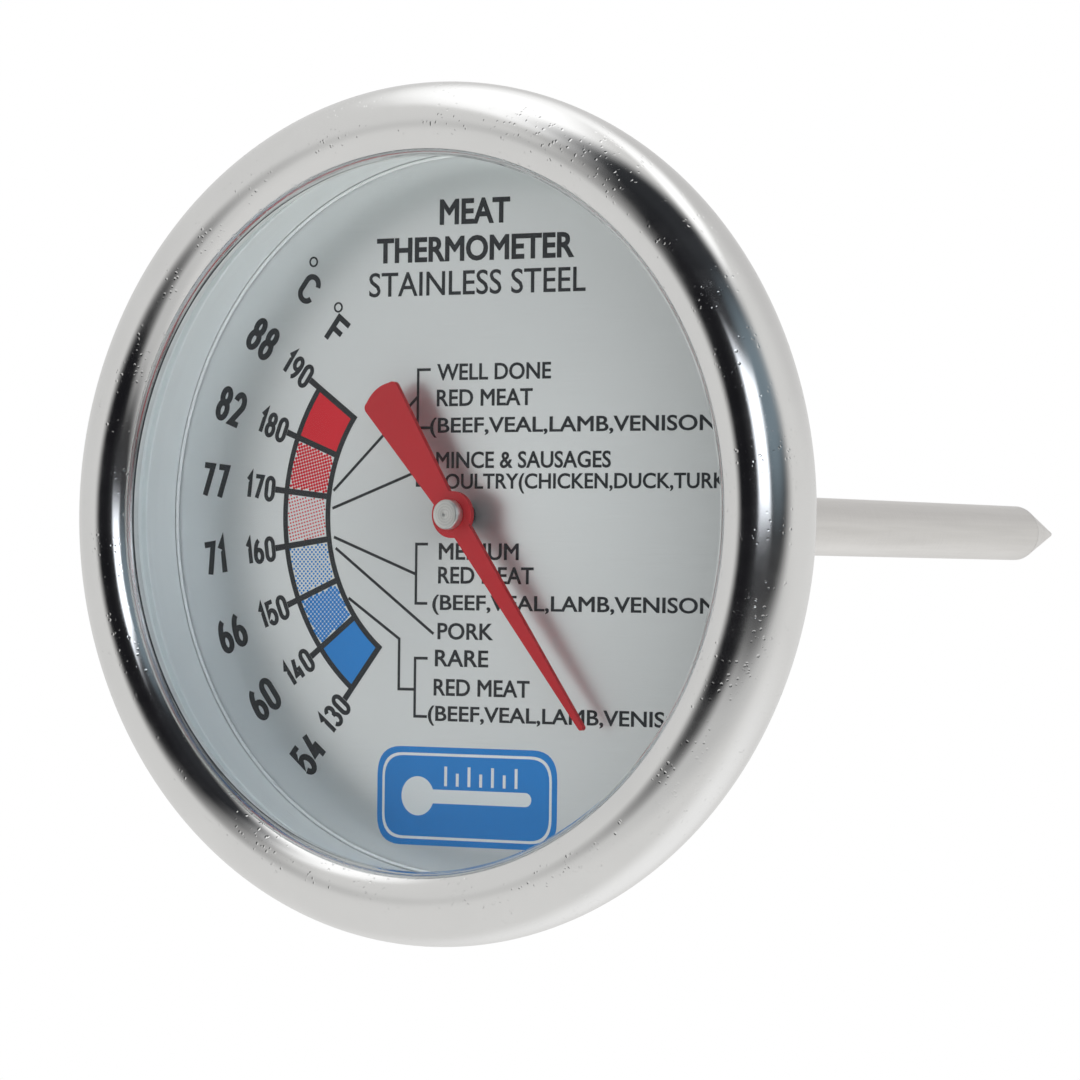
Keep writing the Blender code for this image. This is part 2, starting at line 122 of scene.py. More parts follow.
def rounded(corners: list[Corner], steps: int = 5) -> list[Point]:
    """Round the corners of a closed outline.

    Args:
        corners: (first, second, reach) of each corner; reach is how far the round
            starts from the corner, and 0 keeps it sharp.
        steps: number of straight pieces in each round.

    Returns:
        The points of the rounded outline.
    """
    points: list[Point] = []
    for index, (first, second, reach) in enumerate(corners):
        here = Vector((first, second))
        if reach <= 0.0:
            points.append((first, second))
            continue
        before = Vector(corners[index - 1][:2]) - here
        after = Vector(corners[(index + 1) % len(corners)][:2]) - here
        length = min(reach, before.length * 0.45, after.length * 0.45)
        start = here + before.normalized() * length
        end = here + after.normalized() * length
        for step in range(steps + 1):
            share = step / steps
            place = start * (1 - share) ** 2 + here * 2 * share * (1 - share) + end * share ** 2
            points.append((place.x, place.y))
    return points


def stroke(path: list[Point], width: float) -> list[Point]:
    """Outline of a pen line of even width with mitred corners.

    Args:
        path: the line's own points.
        width: full width of the line.

    Returns:
        A closed outline, up one side and back down the other.
    """
    places = [Vector(point) for point in path]
    sides: list[Vector] = []
    for index, place in enumerate(places):
        into = (place - places[index - 1]).normalized() if index else None
        out = (places[index + 1] - place).normalized() if index + 1 < len(places) else None
        into, out = into or out, out or into
        across = Vector((-(into.y + out.y), into.x + out.x)).normalized()
        normal = Vector((-into.y, into.x))
        sides.append(across * (width / 2 / max(0.3, across.dot(normal))))
    left = [place + side for place, side in zip(places, sides)]
    right = [place - side for place, side in zip(places, sides)]
    return [(point.x, point.y) for point in left + right[::-1]]


def ring(path: list[Point], width: float) -> list[list[Point]]:
    """Outer and inner outline of a closed pen line of even width.

    Args:
        path: the line's own points, anticlockwise, without the first one repeated.
        width: full width of the line.

    Returns:
        The outer outline and then the inner one.
    """
    places = [Vector(point) for point in path]
    outer: list[Point] = []
    inner: list[Point] = []
    for index, place in enumerate(places):
        way = (places[(index + 1) % len(places)] - places[index - 1]).normalized()
        side = Vector((way.y, -way.x)) * (width / 2)
        outer.append(tuple(place + side))
        inner.append(tuple(place - side))
    return [outer, inner]


def polar(radius: float, degrees: float) -> Point:
    """Place on the scale: angle 0 is nine o'clock, and it grows clockwise."""
    turn = math.radians(degrees)
    return -radius * math.cos(turn), radius * math.sin(turn)


# ====================================================================== modelling
class Bench:
    """Modelling steps that the sub-assemblies share, done with Blender's operators."""

    @staticmethod
    def clear_selection() -> None:
        """Leave edit mode and deselect every object."""
        if bpy.context.object is not None and bpy.context.object.mode != "OBJECT":
            bpy.ops.object.mode_set(mode="OBJECT")
        bpy.ops.object.select_all(action="DESELECT")

    @classmethod
    def pick(cls, item: bpy.types.Object) -> None:
        """Select one object alone and make it the active one."""
        cls.clear_selection()
        item.select_set(True)
        bpy.context.view_layer.objects.active = item

    @staticmethod
    def named(item: bpy.types.Object, name: str) -> bpy.types.Object:
        """Give an object and its mesh the same name."""
        item.name = name
        item.data.name = name
        return item

    @classmethod
    def open_at(cls, name: str, place: Vector) -> bpy.types.Object:
        """Add a piece that starts as a single vertex, and open it in edit mode.

        Args:
            name: the piece's name.
            place: where the vertex is, in the frame.

        Returns:
            The new object, in edit mode with its vertex selected.
        """
        cls.clear_selection()
        bpy.ops.mesh.primitive_plane_add(size=MM)
        item = Bench.named(bpy.context.object, name)
        bpy.ops.object.mode_set(mode="EDIT")
        bpy.ops.mesh.select_mode(type="VERT")
        bpy.ops.mesh.select_all(action="SELECT")
        bpy.ops.mesh.merge(type="CENTER")
        bpy.ops.transform.translate(value=place)
        return item

    @staticmethod
    def draw(places: list[Vector], closed: bool) -> None:
        """Extrude the selected vertex along a line of places.

        Args:
            places: the line, whose first place is where the vertex is now.
            closed: whether an edge joins the last place to the first.
        """
        data = bpy.context.edit_object.data
        first = len(bmesh.from_edit_mesh(data).verts) - 1
        for before, after in zip(places, places[1:]):
            bpy.ops.mesh.extrude_vertices_move(TRANSFORM_OT_translate={"value": after - before})
        if closed:
            mesh = bmesh.from_edit_mesh(data)
            mesh.verts.ensure_lookup_table()
            mesh.verts[first].select_set(True)
            mesh.verts[-1].select_set(True)
            bmesh.update_edit_mesh(data)
            bpy.ops.mesh.edge_face_add()

    @classmethod
    def turn(cls, name: str, outline: list[Point], steps: int, closed: bool = True) -> bpy.types.Object:
        """Turn a section of (radius, height) points about the stem's axis.

        Args:
            name: the piece's name.
            outline: the section; an open one starts and ends on the axis.
            steps: number of faces round the axis.
            closed: whether the section is a closed ring.

        Returns:
            The finished piece.
        """
        places = [Vector((radius, -height, 0.0)) for radius, height in outline]
        item = cls.open_at(name, places[0])
        cls.draw(places, closed)
        bpy.ops.mesh.select_all(action="SELECT")
        bpy.ops.mesh.spin(steps=steps, angle=2 * math.pi, center=(0, 0, 0), axis=AXIS)
        cls.close_up(MM / 1000)
        return cls.smooth(item, 32.0)

    @staticmethod
    def close_up(distance: float) -> None:
        """Merge what lies on the same place, turn the faces outwards, leave edit mode."""
        bpy.ops.mesh.select_all(action="SELECT")
        bpy.ops.mesh.remove_doubles(threshold=distance)
        bpy.ops.mesh.select_all(action="SELECT")
        bpy.ops.mesh.normals_make_consistent(inside=False)
        bpy.ops.object.mode_set(mode="OBJECT")

    @staticmethod
    def smooth(item: bpy.types.Object, degrees: float) -> bpy.types.Object:
        """Shade a piece smooth, with edges sharper than the angle left crisp."""
        item.select_set(True)
        bpy.context.view_layer.objects.active = item
        bpy.ops.object.shade_smooth_by_angle(angle=math.radians(degrees))
        return item

    @classmethod
    def sheet(cls, name: str, outlines: list[list[Point]], height: float,
              thickness: float) -> bpy.types.Object:
        """A flat piece parallel to the dial, cut to an outline with any holes.

        Args:
            name: the piece's name.
            outlines: the outer outline and then the holes, as (x, z) points.
            height: height of its lower face.
            thickness: its thickness, towards the reader.

        Returns:
            The finished piece.
        """
        item: Optional[bpy.types.Object] = None
        for outline in outlines:
            places = [Vector((x, -height, z)) for x, z in outline]
            if item is None:
                item = cls.open_at(name, places[0])
            else:
                cls.loose_vertex(places[0])
            cls.draw(places, closed=True)
        bpy.ops.mesh.select_all(action="SELECT")
        if len(outlines) > 1:
            bpy.ops.mesh.fill(use_beauty=True)
        else:
            bpy.ops.mesh.edge_face_add()
        bpy.ops.mesh.select_all(action="SELECT")
        bpy.ops.mesh.extrude_region_move(TRANSFORM_OT_translate={"value": (0, -thickness, 0)})
        cls.close_up(MM / 10000)
        return cls.smooth(item, 30.0)

    @staticmethod
    def loose_vertex(place: Vector) -> None:
        """Add a lone selected vertex to the mesh in edit mode."""
        bpy.ops.mesh.select_all(action="DESELECT")
        bpy.ops.mesh.primitive_plane_add(size=MM)
        bpy.ops.mesh.merge(type="CENTER")
        bpy.ops.transform.translate(value=place)

    @classmethod
    def joined(cls, name: str, items: list[bpy.types.Object]) -> bpy.types.Object:
        """Join pieces of one printing into one object."""
        cls.clear_selection()
        for item in items:
            item.select_set(True)
        bpy.context.view_layer.objects.active = items[0]
        if len(items) > 1:
            bpy.ops.object.join()
        return cls.named(items[0], name)

    @classmethod
    def soften(cls, item: bpy.types.Object, width: float, segments: int = 2) -> bpy.types.Object:
        """Round a piece's crisp edges with an applied bevel.

        Args:
            item: the piece.
            width: width of the round.
            segments: faces across the round.

        Returns:
            The same piece.
        """
        cls.pick(item)
        bevel = item.modifiers.new("edge", "BEVEL")
        bevel.width = width
        bevel.segments = segments
        bevel.limit_method = "ANGLE"
        bevel.angle_limit = math.radians(50.0)
        bevel.harden_normals = False
        bpy.ops.object.modifier_apply(modifier=bevel.name)
        return cls.smooth(item, 40.0)


def extent(node: str) -> tuple[float, float, float]:
    """Size of a CAD node that is round about the stem's axis.

    Args:
        node: the node's name.

    Returns:
        Height of its front, height of its back, and its outer radius.
    """
    low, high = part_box(node)
    return -low.y, -high.y, high.x


def fit(item: bpy.types.Object, body: Body, slot: Slot, material: bpy.types.Material, *nodes: str) -> None:
    """Put a finished piece on its body with its finish.

    Args:
        item: the piece.
        body: the body that it rides on.
        slot: a slot of the record; not used.
        material: its material.
        nodes: the CAD nodes that it stands for.
    """
    item.data.materials.clear()
    item.data.materials.append(material)
    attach(item, body.value)
    if nodes:
        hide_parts(*nodes)
    LOG.info("%s: %d faces on %s", item.name, len(item.data.polygons), body.value)


# ====================================================================== finishes
Input = Union[bpy.types.NodeSocket, float, Colour, tuple[float, float, float, float]]


class Recipe:
    """A material's node tree, written with short calls in millimetre coordinates."""

    def __init__(self, name: str) -> None:
        """Start a material with a Principled shader.

        Args:
            name: the material's name.
        """
        self.material = bpy.data.materials.new(name)
        self.material.use_nodes = True
        self.tree = self.material.node_tree
        self.shader = self.tree.nodes["Principled BSDF"]
        self.output = self.tree.nodes["Material Output"]
        self.place = self.add("ShaderNodeTexCoord").outputs["Object"]

    def add(self, kind: str, inputs: Optional[dict] = None, **settings: object) -> bpy.types.Node:
        """Add a node.

        Args:
            kind: Blender's type name of the node.
            inputs: values or sockets by input name or number.
            settings: properties of the node.

        Returns:
            The node.
        """
        node = self.tree.nodes.new(kind)
        for key, value in settings.items():
            setattr(node, key, value)
        for key, value in (inputs or {}).items():
            self.put(node.inputs[key], value)
        return node

    def put(self, socket: bpy.types.NodeSocket, value: Input) -> None:
        """Link a socket to an input, or set the input's own value."""
        if isinstance(value, bpy.types.NodeSocket):
            self.tree.links.new(value, socket)
        elif isinstance(value, tuple) and len(value) == 3 and socket.type == "RGBA":
            socket.default_value = (*value, 1.0)
        else:
            socket.default_value = value

    def even(self, cells: float) -> bpy.types.NodeSocket:
        """Object coordinates with the same number of cells in a millimetre each way."""
        return self.scaled(cells, cells, cells)

    def scaled(self, x: float, y: float, z: float) -> bpy.types.NodeSocket:
        """Object coordinates with so many pattern cells in a millimetre along each axis.

        Args:
            x: cells in a millimetre along X.
            y: cells in a millimetre along Y.
            z: cells in a millimetre along Z.

        Returns:
            The scaled coordinates.
        """
        scale = (x / MM, y / MM, z / MM)
        return self.add("ShaderNodeMapping", {"Vector": self.place, "Scale": scale}).outputs["Vector"]

    def noise(self, place: bpy.types.NodeSocket, scale: float = 1.0, detail: float = 3.0,
              roughness: float = 0.5, warp: float = 0.0) -> bpy.types.NodeSocket:
        """Cloudy pattern, 0 to 1, at the given place."""
        node = self.add("ShaderNodeTexNoise", {"Vector": place, "Scale": scale, "Detail": detail,
                                               "Roughness": roughness, "Distortion": warp})
        return node.outputs["Fac"]

    def cells(self, place: bpy.types.NodeSocket, scale: float) -> bpy.types.NodeSocket:
        """Distance to the nearest scattered point."""
        node = self.add("ShaderNodeTexVoronoi", {"Vector": place, "Scale": scale}, feature="F1")
        return node.outputs["Distance"]

    def spread(self, value: bpy.types.NodeSocket, low: float, high: float,
               to_low: float = 0.0, to_high: float = 1.0) -> bpy.types.NodeSocket:
        """Map a value's range smoothly onto another range."""
        node = self.add("ShaderNodeMapRange", {"Value": value, "From Min": low, "From Max": high,
                                               "To Min": to_low, "To Max": to_high},
                        interpolation_type="SMOOTHSTEP")
        return node.outputs["Result"]

    def maths(self, operation: str, first: Input, second: Input = 0.5) -> bpy.types.NodeSocket:
        """One arithmetic step."""
        return self.add("ShaderNodeMath", {0: first, 1: second}, operation=operation).outputs[0]

    def blend(self, share: Input, first: Input, second: Input) -> bpy.types.NodeSocket:
        """Mix two colours."""
        node = self.add("ShaderNodeMix", data_type="RGBA")
        self.put(node.inputs[0], share)
        self.put(node.inputs[6], first)
        self.put(node.inputs[7], second)
        return node.outputs[2]

    def relief(self, height: bpy.types.NodeSocket, depth: float,
               under: Optional[bpy.types.NodeSocket] = None) -> bpy.types.NodeSocket:
        """A bumped normal.

        Args:
            height: pattern from 0 to 1.
            depth: real depth of the pattern in metres.
            under: normal to bump further.

        Returns:
            The normal.
        """
        inputs: dict = {"Height": height, "Distance": depth, "Strength": 1.0}
        if under is not None:
            inputs["Normal"] = under
        return self.add("ShaderNodeBump", inputs).outputs["Normal"]

    def radius(self) -> bpy.types.NodeSocket:
        """Distance from the stem's axis in millimetres."""
        flat = self.add("ShaderNodeMapping", {"Vector": self.place, "Scale": (1 / MM, 0.0, 1 / MM)})
        length = self.add("ShaderNodeVectorMath", {0: flat.outputs["Vector"]}, operation="LENGTH")
        return length.outputs["Value"]

    def surface(self, **inputs: Input) -> None:
        """Set the shader's sockets; an underscore in a name stands for a space."""
        for name, value in inputs.items():
            self.put(self.shader.inputs[name.replace("_", " ")], value)


def grey(level: float) -> Colour:
    """A neutral colour."""
    return level, level, level


def shade(colour: Colour, factor: float) -> Colour:
    """A colour made darker or lighter."""
    return tuple(min(1.0, part * factor) for part in colour)


class Finish:
    """A finish whose nodes are laid out by its own recipe."""

    def material(self, name: str) -> bpy.types.Material:
        """Make the material.

        Args:
            name: the material's name.

        Returns:
            The finished material.
        """
        recipe = Recipe(name)
        self.write(recipe)
        return recipe.material

    def write(self, recipe: Recipe) -> None:
        """Lay out the nodes in a recipe."""
        raise NotImplementedError


@dataclass(frozen=True)
class PolishedSteel(Finish):
    """Buffed stainless sheet: mirror bright, with pits, hairlines and soft smears."""

    colour: Colour = (0.78, 0.78, 0.775)
    roughness: float = 0.09
    smear: float = 0.10
    pit_size: float = 0.9
    pit_depth: float = 0.004 * MM
    wave_depth: float = 0.010 * MM
    dent_pitch: float = 0.52
    dent_depth: float = 0.015 * MM

    def write(self, recipe: Recipe) -> None:
        """Lay out the nodes.

        Args:
            recipe: the material being made.
        """
        smears = recipe.noise(recipe.even(0.12), detail=5.0, roughness=0.6, warp=0.4)
        fine = recipe.even(1.0)
        patches = recipe.spread(recipe.noise(recipe.even(0.16), detail=2.0), 0.50, 0.68)
        grains = recipe.noise(fine, scale=self.pit_size * 2.2, detail=4.0, roughness=0.72)
        grains = recipe.spread(grains, 0.62, 0.72)
        pits = recipe.maths("MULTIPLY", grains, patches)
        hair = recipe.spread(recipe.noise(recipe.scaled(0.25, 9.0, 0.25), detail=2.0), 0.35, 0.75)
        tone = recipe.blend(smears, shade(self.colour, 0.93), shade(self.colour, 1.05))
        tone = recipe.blend(recipe.maths("MULTIPLY", pits, 0.55), tone, shade(self.colour, 0.42))
        rough = recipe.spread(smears, 0.3, 0.75, self.roughness, self.roughness + self.smear)
        rough = recipe.maths("ADD", rough, recipe.maths("MULTIPLY", pits, 0.25))
        waves = recipe.relief(recipe.noise(recipe.even(0.10), detail=1.0), self.wave_depth)
        lines = recipe.relief(hair, 0.00025 * MM, waves)
        pitted = recipe.relief(recipe.maths("SUBTRACT", 1.0, pits), self.pit_depth, lines)
        where = recipe.spread(recipe.noise(recipe.even(0.34), detail=3.0), 0.45, 0.57)
        ragged = recipe.maths("MULTIPLY", recipe.noise(fine, scale=3.0, detail=2.0), 0.55)
        reach = recipe.maths("ADD", recipe.cells(fine, 1.0 / self.dent_pitch), ragged)
        bowls = recipe.spread(reach, 0.33, 0.56)
        dents = recipe.maths("MULTIPLY", recipe.maths("SUBTRACT", 1.0, bowls), where)
        dents = recipe.maths("SUBTRACT", 1.0, dents)
        normal = recipe.relief(dents, self.dent_depth, pitted)
        recipe.surface(Base_Color=tone, Metallic=1.0, Roughness=rough, Normal=normal)


@dataclass(frozen=True)
class SatinSteel(Finish):
    """Ground stainless: fine rings round the stem, and pale handling marks."""

    colour: Colour = (0.77, 0.755, 0.735)
    roughness: float = 0.34
    rings: float = 14.0
    depth: float = 0.0012 * MM

    def write(self, recipe: Recipe) -> None:
        """Lay out the nodes.

        Args:
            recipe: the material being made.
        """
        grind = recipe.noise(recipe.scaled(0.35, self.rings, 0.35), detail=3.0, roughness=0.7)
        along = recipe.noise(recipe.scaled(1.4, 0.06, 1.4), detail=3.0)
        marks = recipe.spread(recipe.noise(recipe.scaled(0.7, 0.4, 0.7), detail=4.0, warp=0.8), 0.60, 0.72)
        tone = recipe.blend(grind, shade(self.colour, 0.90), shade(self.colour, 1.08))
        tone = recipe.blend(recipe.maths("MULTIPLY", along, 0.35), tone, shade(self.colour, 0.78))
        rough = recipe.spread(along, 0.3, 0.7, self.roughness - 0.06, self.roughness + 0.08)
        rough = recipe.maths("ADD", rough, recipe.maths("MULTIPLY", marks, 0.08))
        recipe.surface(Base_Color=tone, Metallic=1.0, Roughness=rough,
                       Normal=recipe.relief(grind, self.depth))


@dataclass(frozen=True)
class BrightWall(Finish):
    """Pale frosted wall between the glass and the dial."""

    colour: Colour = (0.93, 0.965, 0.96)
    roughness: float = 0.30

    def write(self, recipe: Recipe) -> None:
        """Lay out the nodes.

        Args:
            recipe: the material being made.
        """
        cloud = recipe.noise(recipe.scaled(0.15, 0.8, 0.15), detail=2.0)
        drawn = recipe.noise(recipe.scaled(0.2, 6.0, 0.2), detail=2.0)
        tone = recipe.blend(cloud, shade(self.colour, 0.97), shade(self.colour, 1.02))
        rough = recipe.spread(drawn, 0.2, 0.8, self.roughness - 0.03, self.roughness + 0.05)
        recipe.surface(Base_Color=tone, Metallic=0.0, Roughness=rough,
                       Normal=recipe.relief(drawn, 0.0002 * MM))


@dataclass(frozen=True)
class BrushedDial(Finish):
    """Dial sheet brushed from side to side under a clear coat."""

    colour: Colour = (0.88, 0.895, 0.90)
    roughness: float = 0.33
    depth: float = 0.0022 * MM

    def write(self, recipe: Recipe) -> None:
        """Lay out the nodes.

        Args:
            recipe: the material being made.
        """
        fine = recipe.noise(recipe.scaled(0.22, 1.0, 9.0), detail=4.0, roughness=0.65)
        broad = recipe.noise(recipe.scaled(0.05, 1.0, 2.2), detail=3.0)
        cloud = recipe.noise(recipe.even(0.07), detail=2.0)
        tone = recipe.blend(fine, shade(self.colour, 0.93), shade(self.colour, 1.06))
        tone = recipe.blend(recipe.maths("MULTIPLY", broad, 0.3), tone, shade(self.colour, 0.94))
        rough = recipe.spread(fine, 0.3, 0.7, self.roughness - 0.04, self.roughness + 0.06)
        rough = recipe.maths("ADD", rough, recipe.maths("MULTIPLY", cloud, 0.03))
        recipe.surface(Base_Color=tone, Metallic=0.74, Roughness=rough,
                       Normal=recipe.relief(fine, self.depth))


@dataclass(frozen=True)
class ClearGlass(Finish):
    """Flat window glass that lets light straight through and mirrors the room a little."""

    tint: Colour = (0.984, 0.993, 0.993)
    index: float = 1.30

    def write(self, recipe: Recipe) -> None:
        """Lay out the nodes.

        Args:
            recipe: the material being made.
        """
        recipe.tree.nodes.remove(recipe.shader)
        smudge = recipe.noise(recipe.even(0.10), detail=4.0, warp=0.6)
        clear = recipe.add("ShaderNodeBsdfTransparent", {"Color": self.tint})
        mirror = recipe.add("ShaderNodeBsdfGlossy", {"Color": (1.0, 1.0, 1.0)})
        recipe.put(mirror.inputs["Roughness"], recipe.spread(smudge, 0.3, 0.8, 0.0, 0.05))
        facing = recipe.add("ShaderNodeFresnel", {"IOR": self.index}).outputs[0]
        inside = recipe.add("ShaderNodeNewGeometry").outputs["Backfacing"]
        share = recipe.maths("MULTIPLY", facing, recipe.maths("SUBTRACT", 1.0, inside))
        mixed = recipe.add("ShaderNodeMixShader", {0: share})
        recipe.put(mixed.inputs[1], clear.outputs[0])
        recipe.put(mixed.inputs[2], mirror.outputs[0])
        recipe.put(recipe.output.inputs["Surface"], mixed.outputs[0])


@dataclass(frozen=True)
class Enamel(Finish):
    """Stoved enamel: even colour with a faint orange peel and dusty grain."""

    colour: Colour
    roughness: float = 0.42
    grain: float = 0.12

    def write(self, recipe: Recipe) -> None:
        """Lay out the nodes.

        Args:
            recipe: the material being made.
        """
        dust = recipe.noise(recipe.even(7.0), detail=3.0, roughness=0.7)
        peel = recipe.noise(recipe.even(1.6), detail=1.0)
        tone = recipe.blend(dust, shade(self.colour, 1.0 - self.grain), shade(self.colour, 1.0 + self.grain))
        rough = recipe.spread(dust, 0.3, 0.7, self.roughness - 0.05, self.roughness + 0.07)
        recipe.surface(Base_Color=tone, Metallic=0.0, Roughness=rough, Normal=recipe.relief(peel, 0.004 * MM),
                       Specular_IOR_Level=0.35)


@dataclass(frozen=True)
class Ink(Finish):
    """Screen-printed ink on the dial: slightly uneven colour, matt."""

    colour: Colour
    roughness: float = 0.5
    wear: float = 0.10

    def write(self, recipe: Recipe) -> None:
        """Lay out the nodes.

        Args:
            recipe: the material being made.
        """
        mottle = recipe.noise(recipe.scaled(3.0, 1.0, 5.0), detail=3.0, roughness=0.65)
        tone = recipe.blend(mottle, shade(self.colour, 1.0 - self.wear), shade(self.colour, 1.0 + self.wear))
        rough = recipe.spread(mottle, 0.3, 0.7, self.roughness - 0.06, self.roughness + 0.06)
        recipe.surface(Base_Color=tone, Metallic=0.0, Roughness=rough, Specular_IOR_Level=0.2)


@dataclass(frozen=True)
class TurnedMetal(Finish):
    """Metal turned on a lathe: tool rings about the stem's axis."""

    colour: Colour = (0.70, 0.69, 0.67)
    roughness: float = 0.30
    rings: float = 5.0
    depth: float = 0.004 * MM

    def write(self, recipe: Recipe) -> None:
        """Lay out the nodes.

        Args:
            recipe: the material being made.
        """
        cut = recipe.maths("SINE", recipe.maths("MULTIPLY", recipe.radius(), self.rings * 2 * math.pi))
        cut = recipe.spread(cut, -1.0, 1.0)
        cloud = recipe.noise(recipe.even(1.0), detail=2.0)
        tone = recipe.blend(cut, shade(self.colour, 0.92), shade(self.colour, 1.05))
        tone = recipe.blend(recipe.maths("MULTIPLY", cloud, 0.2), tone, shade(self.colour, 0.88))
        rough = recipe.spread(cloud, 0.3, 0.7, self.roughness - 0.05, self.roughness + 0.08)
        recipe.surface(Base_Color=tone, Metallic=1.0, Roughness=rough, Normal=recipe.relief(cut, self.depth))


@dataclass(frozen=True)
class Moulded(Finish):
    """Moulded rubber or plastic with a fine spark-eroded grain."""

    colour: Colour
    roughness: float = 0.5
    depth: float = 0.003 * MM

    def write(self, recipe: Recipe) -> None:
        """Lay out the nodes.

        Args:
            recipe: the material being made.
        """
        grain = recipe.noise(recipe.even(5.0), detail=3.0, roughness=0.6)
        cloud = recipe.noise(recipe.even(0.4), detail=2.0)
        tone = recipe.blend(cloud, shade(self.colour, 0.85), shade(self.colour, 1.12))
        rough = recipe.spread(grain, 0.3, 0.7, self.roughness - 0.06, self.roughness + 0.06)
        recipe.surface(Base_Color=tone, Metallic=0.0, Roughness=rough,
                       Normal=recipe.relief(grain, self.depth))


INK_GREY = Ink((0.030, 0.033, 0.037))
INK_RED = Ink((0.700, 0.015, 0.030), roughness=0.42, wear=0.05)
INK_BLUE = Ink((0.022, 0.230, 0.630), roughness=0.42, wear=0.05)
INK_WHITE = Ink((0.80, 0.82, 0.82), roughness=0.45, wear=0.04)


# ====================================================================== case
@dataclass
class Case:
    """Rolled bezel, gasket, glass, bright wall, dial sheet and drawn case."""

    sheet: float = 0.5 * MM
    bead_outer: float = 4.0 * MM
    bead_inner: float = 2.7 * MM
    lip_plane: float = 15.0 * MM
    seat_gap: float = 0.3 * MM
    wall: float = 0.55 * MM
    shoulder_width: float = 1.9 * MM
    back_corner: float = 3.5 * MM
    steps: int = 256
    crest: float = field(init=False)
    rear: float = field(init=False)
    widest: float = field(init=False)
    glass_radius: float = field(init=False)

    def __post_init__(self) -> None:
        """Take the driving sizes from the frame."""
        self.crest, self.rear, self.widest = extent("bezel_ring")
        self.glass_radius = extent("glass_lens")[2]

    def build(self) -> None:
        """Build and dress every piece of the case."""
        self.build_bezel()
        self.build_window()
        self.build_wall()
        self.build_dial_sheet()
        self.build_shell()

    def build_bezel(self) -> None:
        """The rolled bead: outer skin, turned lip, inner skin."""
        crest_radius = self.widest - self.bead_outer
        equator = (self.crest + self.rear) / 2 - 0.075 * MM
        rise, fall = self.crest - equator, equator - self.rear
        lip = (crest_radius, self.lip_plane)
        side = (crest_radius, equator)
        lip_rise = self.crest - self.lip_plane
        skin, half = self.sheet, self.sheet / 2
        outline = arc(lip, (self.bead_inner, lip_rise), 180, 90, 22)
        outline += arc(side, (self.bead_outer, rise), 90, 0, 30)[1:]
        outline += arc(side, (self.bead_outer, fall), 0, -90, 22)[1:]
        outline += arc((crest_radius, self.rear + half), (half, half), -90, -270, 6)[1:-1]
        outline += arc(side, (self.bead_outer - skin, fall - skin), -90, 0, 12)
        outline += arc(side, (self.bead_outer - skin, rise - skin), 0, 90, 12)[1:]
        outline += arc(lip, (self.bead_inner - skin, lip_rise - skin), 90, 180, 8)[1:]
        lip_edge = (crest_radius - self.bead_inner + half, self.lip_plane)
        outline += arc(lip_edge, (half, half * 0.9), 0, -180, 6)[1:-1]
        item = Bench.turn("bezel", outline, self.steps)
        fit(item, Body.CASE, Slot.POLISHED, PolishedSteel().material("buffed_bezel"), "bezel_ring")

    def build_window(self) -> None:
        """Gasket, a near-black ring under the lip that paints the shaded line at the lip's edge, and glass.
        """
        gasket_top, _, outer = extent("lens_gasket")
        glass_top, glass_back, _ = extent("glass_lens")
        front, back = gasket_top - 0.08 * MM, glass_top + 0.05 * MM
        bore = self.widest - self.bead_outer - self.bead_inner + 0.05 * MM
        corners = ((bore, front), (outer, front), (outer, back), (bore, back))
        section = rounded([(radius, height, 0.10 * MM) for radius, height in corners])
        item = Bench.turn("window_gasket", section, self.steps)
        pale = Moulded((0.72, 0.76, 0.75), roughness=0.32)
        fit(item, Body.CASE, Slot.GASKET, pale.material("window_rubber"), "lens_gasket")

        # Painted shade: a thin near-black ring at the lip's bore stands in for the shaded line along the
        # lip's edge; it is no real seal.
        edge = 0.075 * MM
        middle = (bore + edge, front + edge - 0.01 * MM)
        item = Bench.turn("lip_shadow_ring", arc(middle, (edge, edge), 0, 360, 10)[:-1], self.steps)
        dark = Moulded((0.05, 0.055, 0.06), roughness=0.4)
        fit(item, Body.CASE, Slot.GASKET, dark.material("painted_lip_shadow"))

        edge = 0.22 * MM
        section = rounded([(0.0, glass_top, 0.0), (self.glass_radius, glass_top, edge),
                           (self.glass_radius, glass_back, edge), (0.0, glass_back, 0.0)], 3)
        item = Bench.turn("window_glass", section, self.steps, closed=False)
        fit(item, Body.CASE, Slot.GLASS, ClearGlass().material("window_glass"), "glass_lens")

    def build_wall(self) -> None:
        """Bright wall with a collar round the glass, and the polished bead at its foot."""
        front, back, outer = extent("spacer_ring")
        bore, glass_top = outer - self.wall, extent("glass_lens")[0]
        collar_bore, collar = outer + 0.06 * MM, outer + 0.22 * MM
        outline = [(bore, front - 0.1 * MM), (bore + 0.1 * MM, front), (collar_bore, front),
                   (collar_bore, glass_top), (collar, glass_top), (collar, back), (bore, back)]
        item = Bench.turn("bright_wall", outline, self.steps)
        fit(item, Body.CASE, Slot.BRIGHT, BrightWall().material("frosted_wall"), "spacer_ring")

        bead = 0.16 * MM
        middle = (bore - bead, extent("dial_plate")[0] + bead + 0.01 * MM)
        item = Bench.turn("wall_bead", arc(middle, (bead, bead), 0, 360, 12)[:-1], self.steps)
        finish = BrightWall(colour=(0.95, 0.97, 0.97), roughness=0.22)
        fit(item, Body.CASE, Slot.BRIGHT, finish.material("bright_bead"))

    def build_dial_sheet(self) -> None:
        """The brushed sheet, with its edge broken and the hole for the spindle."""
        front, back, outer = extent("dial_plate")
        hole, edge = 0.9 * MM, 0.08 * MM
        corners = ((hole, front), (outer, front), (outer, back), (hole, back))
        outline = rounded([(radius, height, edge) for radius, height in corners], 3)
        item = Bench.turn("dial_sheet", outline, self.steps)
        fit(item, Body.CASE, Slot.DIAL, BrushedDial().material("brushed_dial"), "dial_plate")

